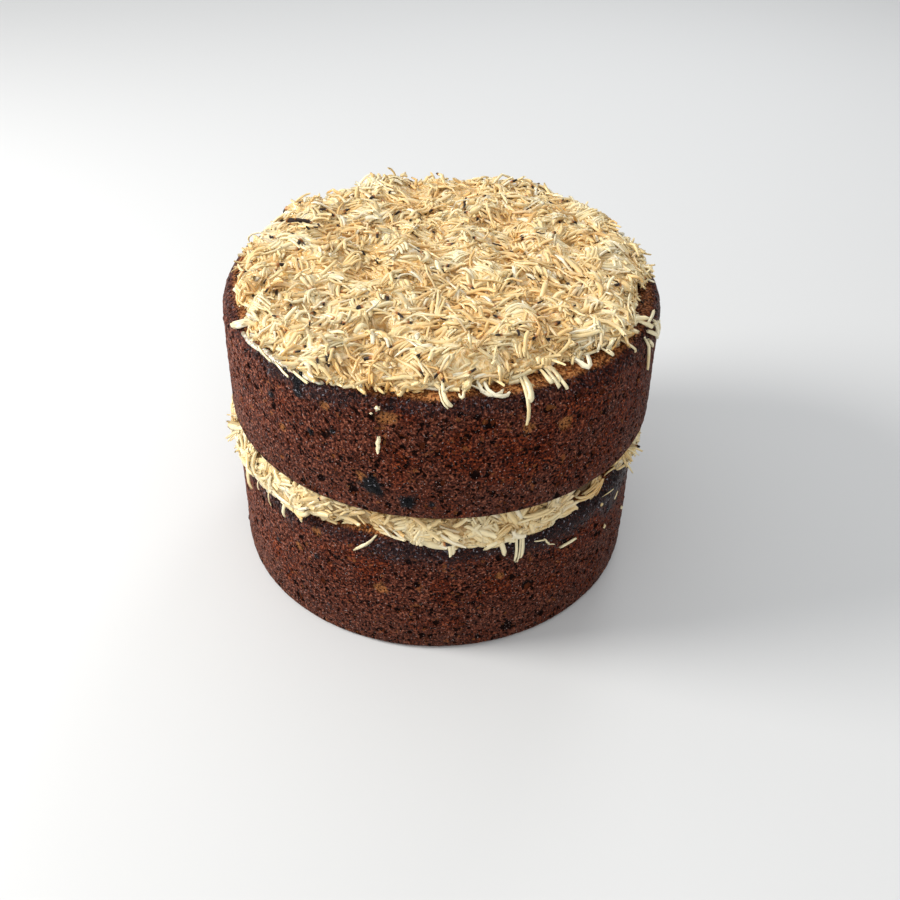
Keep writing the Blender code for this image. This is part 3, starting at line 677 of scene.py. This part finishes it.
def hanging(rng, layer, hangs, root_out, root_up):
    """Shreds that come out of a heap at its root and hang down a side to a tip."""
    paths, normals = [], []
    for root, tip, low in hangs:
        rim = layer.at(root, 0.0, layer.top - TOP_ROUND)
        start = rim + polar(root, root_out, TOP_ROUND + root_up)
        over_rim = rim + polar(root, 0.0008, TOP_ROUND + 0.4 * root_up)
        down = layer.at(tip, 0.0028, (low + layer.top) / 2)
        paths.append(thread([start, over_rim, down, layer.at(tip, 0.0008, low)]))
        normals.append([unit(polar(tip, 1.0, 0.0) + [0, 0, 0.3])])
    tones = rng.uniform(0.0, 0.35, len(hangs))
    return shred_set(rng, np.array(paths), np.array(normals), tones, 0.0, 0.98)


def stuck(rng, layer, places, broad=1.0):
    """Loose shreds lying on a side."""
    paths = []
    for first, first_up, last, last_up in places:
        degrees = np.linspace(first, last, SHRED_POINTS) + rng.normal(0, 0.1, SHRED_POINTS)
        paths.append(layer.at(degrees, 0.0005, np.linspace(first_up, last_up, SHRED_POINTS)))
    paths = np.array(paths)
    outward = unit((paths - layer.middle) * FLAT)
    return shred_set(rng, paths, outward, np.zeros(len(paths)), 0.0, broad, even=0.1)


def crumbs(rng, layer, places):
    """Bits of coconut stuck to a side."""
    degrees, height, size = np.transpose(places)
    bits = zip(degrees - 200 * size, height, degrees + 200 * size, height + size / 2)
    return stuck(rng, layer, bits, size / SHRED_WIDTH)


def tufts(rng, layer, places):
    """Shreds that stick out of the filling."""
    paths = []
    for degrees, height, count, reach in places:
        for _ in range(count):
            root = polar(degrees + rng.normal(0, 1.2), layer.radius - 0.004, height + rng.normal(0, 0.0012))
            aim = polar(degrees + rng.normal(0, 42), 1.0, rng.normal(-0.1, 0.5))
            aim = aim * (0.004 + reach * rng.uniform(0.5, 1.1))
            droop = np.array([0, 0, -0.0012])
            paths.append(thread([root, root + 0.4 * aim, root + 0.7 * aim + 0.3 * droop, root + aim + droop]))
    return shred_set(rng, np.array(paths), UP, rng.uniform(0.1, 0.7, len(paths)), 0.02, 0.85)


def strewn_filling(rng, lower, upper, radii, floor):
    """Shreds in clumps over the filling's side, more of them where it bulges."""
    high = upper.base - 0.0009
    degrees = rng.uniform(0, 360, 6 * FILLING_COUNT)
    lowest = floor.at(degrees, 0.0)
    height = lowest + (high - lowest) * rng.uniform(0.0, 1.0, len(degrees))
    plenty = by_degrees(degrees, FILLING_SIDE)
    plenty *= 0.35 + 0.65 * smooth(0.069, 0.0735, radii.at(degrees, height))
    kept = rng.random(len(degrees)) < plenty
    leaders = np.stack([np.radians(degrees) * lower.radius, height], -1)[kept]
    leaders = leaders[: FILLING_COUNT // CLUMP_SHREDS]
    lying = 0.8 * rng.normal(0, 1, len(leaders)) + math.pi * (rng.random(len(leaders)) < 0.5)
    shade = by_degrees(degrees, FILLING_SIDE, 2)[kept][: len(leaders)]
    owner, spots, headings, tight = clumps(rng, leaders, lying, FILLING_COUNT)
    loose = np.where(tight, 0.2, 1.0)
    bends = rng.normal(0, 80, len(leaders))[owner] + rng.normal(0, 60, FILLING_COUNT) * loose
    bends = np.where((rng.random(FILLING_COUNT) < 0.25) & ~tight, rng.normal(0, 250, FILLING_COUNT), bends)
    plan = bent_paths(rng, spots, headings, shred_lengths(rng, FILLING_COUNT, 0.08), bends)
    degrees = np.degrees(plan[..., 0] / lower.radius) % 360
    height = np.clip(plan[..., 1], floor.at(degrees, 0.0) + 0.0004, high)
    reach = radii.at(degrees, height)
    level = radii.at(np.degrees(leaders[owner, 0] / lower.radius) % 360, leaders[owner, 1])[:, None]
    loose = loose[:, None]
    tilt = rng.normal(0, 0.3, len(leaders))[owner][:, None] + rng.normal(0, 0.12, (len(owner), 1)) * loose
    along = (plan - leaders[owner][:, None])[..., 0]
    depth = rng.uniform(-0.0022, 0.0014, (len(owner), 1)) * loose
    depth = depth + rng.uniform(-0.0016, 0.0012, len(leaders))[owner][:, None] * (1 - loose)
    out = 0.65 * reach + 0.35 * level + tilt * along * 0.6 + depth
    out = np.maximum(out, np.where(height < lower.top, lower.side(height) + 0.0005, 0.0))
    furthest = np.where(np.abs(degrees - BULGE_AT) < BULGE_HALF, BULGE_REACH, SHREDS_REACH)
    paths = polar(degrees, np.minimum(out, furthest), height)
    normals = unit(polar(degrees, 1.0, 0.0) + [0, 0, 0.2])
    tones = 0.8 * np.clip(rng.beta(2.0, 2.6, len(leaders))[owner] + rng.normal(0, 0.12, len(owner)), 0, 1)
    # Painted shade: some on every shred between the layers, more where the side lies in shade and where a
    # shred is set back.
    deep = np.maximum(0.08 + 0.5 * shade[owner][:, None], np.clip(-depth / 0.0022, 0, 1))
    broad = 0.95 + 0.4 * smooth(0.8, 1.0, by_degrees(degrees[:, 0], FILLING_SIDE))
    return shred_set(rng, paths, normals, tones, 0.02, broad, deep)


# Cores under the shreds


def topping_core(layer, heights, inside, material):
    """The creamy mass just under the topping's shreds, with its rim sunk into the crust."""
    angle = np.linspace(0, 360, 240, endpoint=False)
    edge = heap_edge(layer, inside, angle, first=0.04, step=0.00025) - CORE_INSET
    spots = polar(angle, np.linspace(0.02, 1.0, 80)[:, None] * edge, 0.0) + layer.middle
    bumps = 0.0006 * waves(spots, 0.003, 5) + 0.0004 * waves(spots, 0.0015, 6)
    sink = CORE_SINK[0] + (CORE_SINK[1] - CORE_SINK[0]) * smooth(-0.5, 0.5, waves(spots, 0.009, 9))
    spots[..., 2] = np.maximum(heights.under(spots) - sink + bumps, layer.top + 0.0002)
    foot = spots[-1:] * FLAT + (layer.top - 0.0006) * UP
    rings = np.concatenate([spots, foot])
    ragged = 1 + 0.5 * waves(rings, 0.0022, 35)
    shade = np.zeros(rings.shape[:2])
    for x, y, radius, depth in HOLLOWS:
        shade = np.maximum(shade, depth * SHADE_PER_DEPTH * bell(rings, x, y, radius / ragged, 0.5, 1.1))
    settle(turned_mesh("topping_core", rings, {"shade": shade}), material, "coconut_topping")


def filling_core(lower, upper, radii, floor, material):
    """The glazed mass behind the filling's shreds, a ring that runs in between the layers."""
    angle = np.linspace(0, 360, 480, endpoint=False)[None, :]
    share = np.linspace(1.0, 0.0, 16)[:, None]
    low = floor.at(angle, 0.0)
    height = low + (upper.base - 0.0001 - low) * share
    points = polar(angle, 0.073 + 0 * height, height)
    shade, glaze = (by_degrees(angle, FILLING_SIDE, column) for column in (2, 3))
    bumps = (0.0006 + 0.0006 * glaze) * waves(points, 0.0036, 7) + 0.0005 * waves(points, 0.0018, 8)
    recess = 0.0012 + 0.002 * smooth(0.45, 1.0, share) + 0.003 * shade
    reach = radii.at(angle, height) - recess + bumps
    inner = polar(angle, np.full((1, 1), 0.06), upper.base - 0.0001)
    under = polar(angle, np.full((1, 1), 0.06), lower.top - 0.0002)
    rings = np.concatenate([inner, polar(angle, reach, height), under])
    shape = rings.shape[:2]
    told = {"shade": np.broadcast_to(shade, shape), "glaze": np.broadcast_to(glaze, shape)}
    settle(turned_mesh("filling_core", rings, told), material, "coconut_filling")


def topping_glaze(layer, places, material):
    """Pools of thin glaze that lie on the layer's rim, each a lens with ragged edges."""
    line, along = layer.outline()
    share = np.linspace(-1, 1, 25)[:, None]
    aside = np.linspace(-1, 1, 11)[None, :]
    points, faces = [], []
    for first, last, height, half, thick in places:
        middle = np.interp(layer.base - height, -line[:-1, 1], along[:-1])
        degrees = (first + last) / 2 + share * (last - first) / 2 + 0 * aside
        at = middle + aside * half + 0 * share
        reach, up = (np.interp(at, along, line[:, axis]) for axis in (0, 1))
        ahead_out, ahead_up = (np.interp(at + 0.0002, along, line[:, axis]) for axis in (0, 1))
        ahead = unit(np.stack([ahead_out - reach, ahead_up - up], -1))
        outward = polar(degrees, -ahead[..., 1], ahead[..., 0])
        skin = polar(degrees, reach, up + layer.base) + layer.middle
        full = 1 - share**2 - aside**2 + 0.5 * waves(skin, 0.0026, 90) + 0.3 * waves(skin, 0.0012, 91)
        lift = thick * np.clip(full + 0.25, -1.0, 0.8) - 0.0003
        faces += sheet_faces(len(points), *lift.shape)
        top, under = skin + outward * lift[..., None], skin - outward * GLAZE_ROOT
        points += [*top.reshape(-1, 3), *under.reshape(-1, 3)]
    settle(mesh_object("topping_glaze", np.array(points), faces, {}), material, "coconut_topping")


def sheet_faces(start, rows, columns):
    """Faces of a closed sheet: its upper side, its under side and its edge."""
    grid = start + np.arange(rows * columns).reshape(rows, columns)
    upper = np.stack([grid[:-1, :-1], grid[:-1, 1:], grid[1:, 1:], grid[1:, :-1]], -1).reshape(-1, 4)
    under = upper[:, ::-1] + rows * columns
    edge = np.concatenate([grid[0, :-1], grid[:-1, -1], grid[-1, :0:-1], grid[:0:-1, 0]])
    after = np.roll(edge, -1)
    wall = np.stack([edge, edge + rows * columns, after + rows * columns, after], -1)
    return [*upper.tolist(), *under.tolist(), *wall.tolist()]


# Materials: sizes in metres, colours linear

# The crust's grain: (from, to, colour), each over the one before.
CRUST_DEEP = (0.022, 0.004, 0.002)
CRUST_GRAIN = [
    (0.38, 0.46, (0.076, 0.017, 0.0085)), (0.48, 0.56, (0.15, 0.04, 0.021)),
    (0.58, 0.68, (0.34, 0.12, 0.068)),
]
# Painted shade and painted light on the crust's sides: the first tint darkens the +X side, the second
# lightens the -X side.
SHADED_SIDE_TINT = (1.0, 0.6, 0.28)
LIT_SIDE_TINT = (1.3, 1.38, 1.48)
# Painted reflection from below: a greyer colour towards the base of a side.
BASE_SHEEN = (0.09, 0.038, 0.027)
# Pores: the crumb's own dark colour, deepened by painted shade in them.
FINE_PORE_SHADE = (0.014, 0.0022, 0.0011)
COARSE_PORE_SHADE = [(0.007, 0.0012, 0.0006), (0.09, 0.02, 0.006)]
GLINT = (0.56, 0.42, 0.38)
CRUMB = (0.28, 0.092, 0.026)
TORN = (0.36, 0.14, 0.045)
BAKED_TOP = [(0.23, 0.065, 0.015), (0.64, 0.285, 0.098)]
DARK_RIM = (0.013, 0.006, 0.007)
DATE = (0.003, 0.003, 0.0042)
SPARK = (0.3, 0.29, 0.33)
# Coconut by how toasted it is, then the few shreds that are nearly white, painted shade on those that lie low
# or in shade, and burnt ends.
PALE, GOLDEN, TOASTED = (0.95, 0.81, 0.51), (0.9, 0.68, 0.34), (0.74, 0.45, 0.17)
WHITE = (0.94, 0.84, 0.61)
CREVICE_SHADE = (0.8, 0.48, 0.16)
SCORCHED, BURNT = (0.42, 0.15, 0.028), (0.02, 0.008, 0.003)
# The mass under the shreds: (dark, light), that of the filling darker by painted shade between the layers;
# then its colour where smooth glaze fills it, and the painted shade where it lies in shade.
TOPPING_CREAM = [(0.68, 0.42, 0.15), (0.88, 0.68, 0.37)]
SHADED_FILLING_CREAM = [(0.44, 0.25, 0.08), (0.64, 0.43, 0.18)]
CREAM_GLAZE = (0.8, 0.66, 0.4)
CREAM_SHADE = (0.1, 0.055, 0.022)
THIN_GLAZE = [(0.34, 0.27, 0.18), (0.74, 0.69, 0.54)]


def put(socket, value):
    """Sets an input to a value, or links it to another node's output."""
    if isinstance(value, bpy.types.NodeSocket):
        socket.id_data.links.new(value, socket)
    else:
        socket.default_value = (*value, 1) if socket.type == "RGBA" else value


def add(tree, kind, *ordered, **named):
    """A shader node's outputs. Named values are its settings and inputs, the rest are inputs in order."""
    made = tree.nodes.new("ShaderNode" + kind)
    for key, value in named.items():
        if key in made.inputs:
            put(made.inputs[key], value)
        else:
            setattr(made, key, value)
    for socket, value in zip(made.inputs, ordered):
        if value is not None:
            put(socket, value)
    return made.outputs


def new_material(name):
    """A material, its node tree and the place on the object."""
    material = bpy.data.materials.new(name)
    material.use_nodes = True
    tree = material.node_tree
    return material, tree, add(tree, "TexCoord")["Object"]


def finish(material, values):
    """Gives a material's shader its inputs."""
    for name, value in values.items():
        put(material.node_tree.nodes["Principled BSDF"].inputs[name], value)
    return material


def read(tree, *names):
    """The values that a mesh has at its points under some names."""
    return [add(tree, "Attribute", attribute_name=name)["Fac"] for name in names]


def cloud(where, size, detail=2.0, output="Fac"):
    return add(where.id_data, "TexNoise", Vector=where, Scale=1 / size, Detail=detail)[output]


def calc(operation, *values):
    """A sum of values, at least one of which is a node's output."""
    tree = next(value.id_data for value in values if isinstance(value, bpy.types.NodeSocket))
    return add(tree, "Math", *values, operation=operation)["Value"]


def times(first, second):
    return calc("MULTIPLY", first, second)


def times_plus(first, second, third):
    return calc("MULTIPLY_ADD", first, second, third)


def between(value, low, high):
    """0 below low and 1 above high, smooth in between."""
    return add(value.id_data, "MapRange", value, low, high, interpolation_type="SMOOTHSTEP")["Result"]


def blend(share, first, second, how="MIX"):
    """Colour between two, by a share from 0 to 1."""
    inputs = share, *[None] * 5, first, second
    return add(share.id_data, "Mix", *inputs, data_type="RGBA", blend_type=how)[2]


def over(colour, *coats):
    """A colour under coats, each a share and a colour."""
    for share, coat in coats:
        colour = blend(share, colour, coat)
    return colour


def bump(height, strength, distance):
    return add(height.id_data, "Bump", Height=height, Strength=strength, Distance=distance)["Normal"]


def warped(where, size, amount):
    """Coordinates pushed about by noise, which makes round cells uneven."""
    noise = cloud(where, size, 2.0, "Color")
    push = add(where.id_data, "VectorMath", noise, (0.5, 0.5, 0.5), operation="SUBTRACT")["Vector"]
    return add(where.id_data, "VectorMath", push, (amount,) * 3, where, operation="MULTIPLY_ADD")["Vector"]


def pores(where, size, small, large, share):
    """1 in small pores and 0 between them, with a random value for each pore's cell."""
    cells = add(where.id_data, "TexVoronoi", Vector=where, Scale=1 / size)
    kind = add(where.id_data, "SeparateColor", Color=cells["Color"])
    hole = calc("SUBTRACT", 1.0, between(cells["Distance"], small, large))
    return times(hole, between(kind["Red"], 0.95 - share, 1.05 - share)), kind["Green"]


def crust_material():
    """Dark crust, lighter and greyer towards -X by painted light and sheen, darker and more orange towards +X
    by painted shade.
    """
    material, tree, where = new_material("crust")
    sunk, rim, top, date, patch, low = read(tree, "pit", "rim", "top", "date", "patch", "low")
    bent = warped(where, 0.0011, 0.0006)
    broad = cloud(where, 0.015, 3.0)
    grain = cloud(where, 0.0008, 2.5)
    coarse, kind = pores(bent, 0.0014, 0.26, 0.38, 0.45)
    fine, _ = pores(bent, 0.0008, 0.28, 0.42, 0.6)
    pit = calc("MAXIMUM", coarse, between(sunk, 0.3, 0.62))
    skin = CRUST_DEEP
    for start, full, colour in CRUST_GRAIN:
        skin = blend(between(grain, start, full), skin, colour)
    across = add(tree, "SeparateXYZ", where)["X"]
    # Painted shade darkens the +X side, and painted light and sheen lighten the -X side.
    shaded_side = between(times_plus(across, 1.6, broad), 0.46, 0.64)
    skin = blend(times(shaded_side, 0.9), skin, SHADED_SIDE_TINT, "MULTIPLY")
    lit_side = between(times_plus(across, -1.0, times(broad, 0.03)), 0.045, 0.085)
    skin = blend(lit_side, skin, LIT_SIDE_TINT, "MULTIPLY")
    glint = between(cloud(where, 0.0006, 1.0), 0.69, 0.73)
    crumb = between(cloud(bent, 0.0026, 3.0), 0.65, 0.7)
    torn = times(patch, between(grain, 0.36, 0.52))
    whole = calc("SUBTRACT", 1.0, times(calc("MAXIMUM", pit, fine), 0.7))
    dark = times(rim, times_plus(between(grain, 0.45, 0.65), -0.2, 1.0))
    shine = calc("MAXIMUM", dark, date)
    spark = between(cloud(bent, 0.0009, 2.0), 0.62, 0.68)
    # Over the skin first goes the painted reflection towards the base.
    colour = over(
        # Fine and coarse pores, on this line and the next: their own dark colour deepened by painted shade.
        skin, (times(low, 0.35), BASE_SHEEN), (times(fine, 0.85), FINE_PORE_SHADE),
        (pit, blend(between(kind, 0.74, 0.84), *COARSE_PORE_SHADE)),
        (times(glint, 0.65), GLINT), (times(crumb, 0.65), CRUMB), (torn, TORN),
        (times(top, whole), blend(between(grain, 0.38, 0.62), *BAKED_TOP)),
        (dark, DARK_RIM), (date, DATE), (times(times(spark, shine), 0.8), SPARK),
    )
    normal = bump(times_plus(fine, -0.55, times_plus(pit, -1.0, grain)), 1.0, 0.0008)
    return finish(material, {
        "Base Color": colour, "Roughness": times_plus(shine, -0.22, times_plus(pit, 0.25, 0.52)),
        "Specular IOR Level": 0.06, "Coat Weight": times(shine, 0.08), "Coat Roughness": 0.14,
        "Normal": normal, "Coat Normal": normal,
    })


def coconut_material():
    """Toasted coconut: each shred has its own tone, streaks along it, painted shade where it lies low, and
    some a burnt end.
    """
    material, tree, where = new_material("coconut")
    along, around, own, tone, deep, burn = read(tree, "along", "around", "own", "tone", "deep", "burn")
    fibre = add(tree, "CombineXYZ", times(along, 0.22), times(around, 8.0), times(own, 90.0))["Vector"]
    streak = cloud(fibre, 1.0, 3.0)
    tone = times_plus(cloud(where, 0.017), 2.1, times(tone, 0.7))
    tone = times_plus(streak, 0.8, calc("SUBTRACT", tone, 0.45))
    colour = over(
        PALE, (between(tone, 0.95, 1.45), GOLDEN), (between(tone, 1.45, 1.95), TOASTED),
        # This line also brings in the painted shade, by each shred's share of it.
        (between(own, 0.9, 0.92), WHITE), (times(deep, 0.85), CREVICE_SHADE),
        (between(burn, 0.02, 0.35), SCORCHED), (between(burn, 0.35, 0.6), BURNT),
    )
    return finish(material, {
        "Base Color": colour, "Roughness": times_plus(burn, 0.6, 0.22), "Specular IOR Level": 0.5,
        "Subsurface Weight": 0.2, "Subsurface Radius": (1.0, 0.9, 0.75), "Subsurface Scale": 0.0008,
        "Normal": bump(streak, 0.7, 0.00025),
    })


def cream_material(name, colours):
    """Glazed mass between the shreds, darker where a piece says that it lies in shade."""
    material, tree, where = new_material(name)
    glaze, shade = read(tree, "glaze", "shade")
    lumps = cloud(warped(where, 0.004, 0.003), 0.0014, 3.0)
    mass = blend(between(lumps, 0.4, 0.6), *colours)
    return finish(material, {
        "Base Color": over(mass, (times(glaze, 0.8), CREAM_GLAZE), (times(shade, 0.85), CREAM_SHADE)),
        "Roughness": 0.25, "Subsurface Weight": 0.2, "Subsurface Radius": (1.0, 0.65, 0.32),
        "Subsurface Scale": 0.0015, "Normal": bump(lumps, 1.0, 0.0009),
    })


def glaze_material():
    """Thin milky glaze."""
    material, _, where = new_material("glaze")
    clouds = between(cloud(where, 0.0016, 3.0), 0.38, 0.62)
    return finish(material, {
        "Base Color": blend(clouds, *THIN_GLAZE), "Roughness": 0.16, "Subsurface Weight": 0.3,
        "Subsurface Scale": 0.001, "Normal": bump(clouds, 0.4, 0.0003),
    })


# Studio: (name, place, aim, size, power, colour) of each light
LIGHTS = [
    ("key", (-0.75, -0.06, 0.56), (0, 0, 0.06), 0.35, 7.6, (1.0, 0.985, 0.96)),
    ("front", (0.15, -0.85, 0.65), (0, 0, 0.06), 0.5, 1.6, (1.0, 0.99, 0.97)),
    ("back", (0.25, 0.65, 0.6), (0, 0, 0.08), 0.3, 1.2, (0.95, 0.97, 1.0)),
]
FLOOR_RADIUS = 4.0
FLOOR_COLOUR = (0.72, 0.72, 0.715)
SKY = [(0.2, 0.205, 0.21), (0.96, 0.98, 1.0)]
SKY_STRENGTH = 0.73


def floor_piece():
    corners = polar(np.arange(0, 360, 5.0), FLOOR_RADIUS, 0.0)
    piece = mesh_object("floor", corners, [range(len(corners))], {})
    material = finish(new_material("floor")[0], {"Base Color": FLOOR_COLOUR, "Roughness": 0.8})
    piece.data.materials.append(material)


def area_light(name, spot, aim, size, energy, colour):
    light = bpy.data.lights.new(name, "AREA")
    light.shape = "DISK"
    light.size = size
    light.energy = energy
    light.color = colour
    obj = bpy.data.objects.new(name, light)
    obj.location = spot
    obj.rotation_euler = (Vector(aim) - Vector(spot)).to_track_quat("-Z", "Y").to_euler()
    bpy.context.scene.collection.objects.link(obj)


def sky():
    """Even soft light, brighter from above than from below, and from -X than from +X."""
    world = bpy.data.worlds.new("studio")
    world.use_nodes = True
    tree = world.node_tree
    way = add(tree, "SeparateXYZ", add(tree, "TexCoord")["Generated"])
    share = between(times_plus(way["X"], -0.45, way["Z"]), -0.3, 0.8)
    put(tree.nodes["Background"].inputs["Color"], blend(share, *SKY))
    put(tree.nodes["Background"].inputs["Strength"], SKY_STRENGTH)
    bpy.context.scene.world = world


def studio():
    floor_piece()
    sky()
    for light in LIGHTS:
        area_light(*light)
    bpy.context.scene.view_settings.view_transform = "Standard"


# Camera, worked out from the photograph's outlines.
FOCAL_PIXELS = 962.57
FRAME_PIXELS = 900
MIDDLE_COLUMN = 445.03
LOOK_DOWN = math.radians(39.81)
CAMERA_ROLL = 0.0192
CAMERA_PLACE = (0.00346, -0.2882, 0.26848)


def camera():
    data = bpy.data.cameras.new("camera")
    data.sensor_width = 36.0
    data.lens = data.sensor_width * FOCAL_PIXELS / FRAME_PIXELS
    data.shift_x = (FRAME_PIXELS / 2 - MIDDLE_COLUMN) / FRAME_PIXELS
    data.clip_start = 0.01
    obj = bpy.data.objects.new("camera", data)
    tilt = Matrix.Rotation(math.pi / 2 - LOOK_DOWN, 4, "X")
    obj.matrix_world = Matrix.Translation(CAMERA_PLACE) @ tilt @ Matrix.Rotation(CAMERA_ROLL, 4, "Z")
    bpy.context.scene.collection.objects.link(obj)
    bpy.context.scene.camera = obj


def main():
    studio()
    camera()
    upper, lower = Layer("upper_layer"), Layer("lower_layer")
    baked, coconut = crust_material(), coconut_material()
    crust("upper_crust", upper, UPPER_DATES, UPPER_PATCHES, UPPER_RIM, 100, baked)
    crust("lower_crust", lower, LOWER_DATES, LOWER_PATCHES, LOWER_RIM, 300, baked)
    heights, inside, hollow = topping_form(upper)
    radii, floor = filling_form(lower, upper)
    topping_core(upper, heights, inside, cream_material("cream", TOPPING_CREAM))
    filling_core(lower, upper, radii, floor, cream_material("shaded_filling_cream", SHADED_FILLING_CREAM))
    topping_glaze(upper, UPPER_GLAZE, glaze_material())

    rng = np.random.default_rng(SHREDS_SEED)
    heap = strewn_topping(rng, upper, heights, inside, hollow)
    tone = heap["tone"][:, 0]
    kinds = {
        "topping_pale": tone < PALE_BELOW, "topping_golden": (tone >= PALE_BELOW) & (tone < TOASTED_FROM),
        "topping_toasted": tone >= TOASTED_FROM,
    }
    for name, kind in kinds.items():
        part = {key: values[kind] for key, values in heap.items()}
        settle(strips(name, part), coconut, "coconut_topping")
    edge = joined(
        edge_shreds(rng, upper, heights, inside),
        hanging(rng, upper, TOPPING_HANGS, root_out=-0.008, root_up=0.0022),
        stuck(rng, upper, UPPER_STUCK), stuck(rng, upper, UPPER_CHUNK, broad=1.35),
        crumbs(rng, upper, UPPER_CRUMBS), charred(rng, heights, CHARRED),
    )
    settle(strips("topping_edge", edge), coconut, "coconut_topping")
    filling = joined(
        strewn_filling(rng, lower, upper, radii, floor),
        hanging(rng, lower, FILLING_HANGS, root_out=-0.002, root_up=0.004),
        stuck(rng, lower, LOWER_STUCK), stuck(rng, lower, LOWER_THREADS, broad=0.5),
        crumbs(rng, lower, LOWER_CRUMBS), tufts(rng, lower, TUFTS),
    )
    settle(strips("filling_shreds", filling), coconut, "coconut_filling")


main()
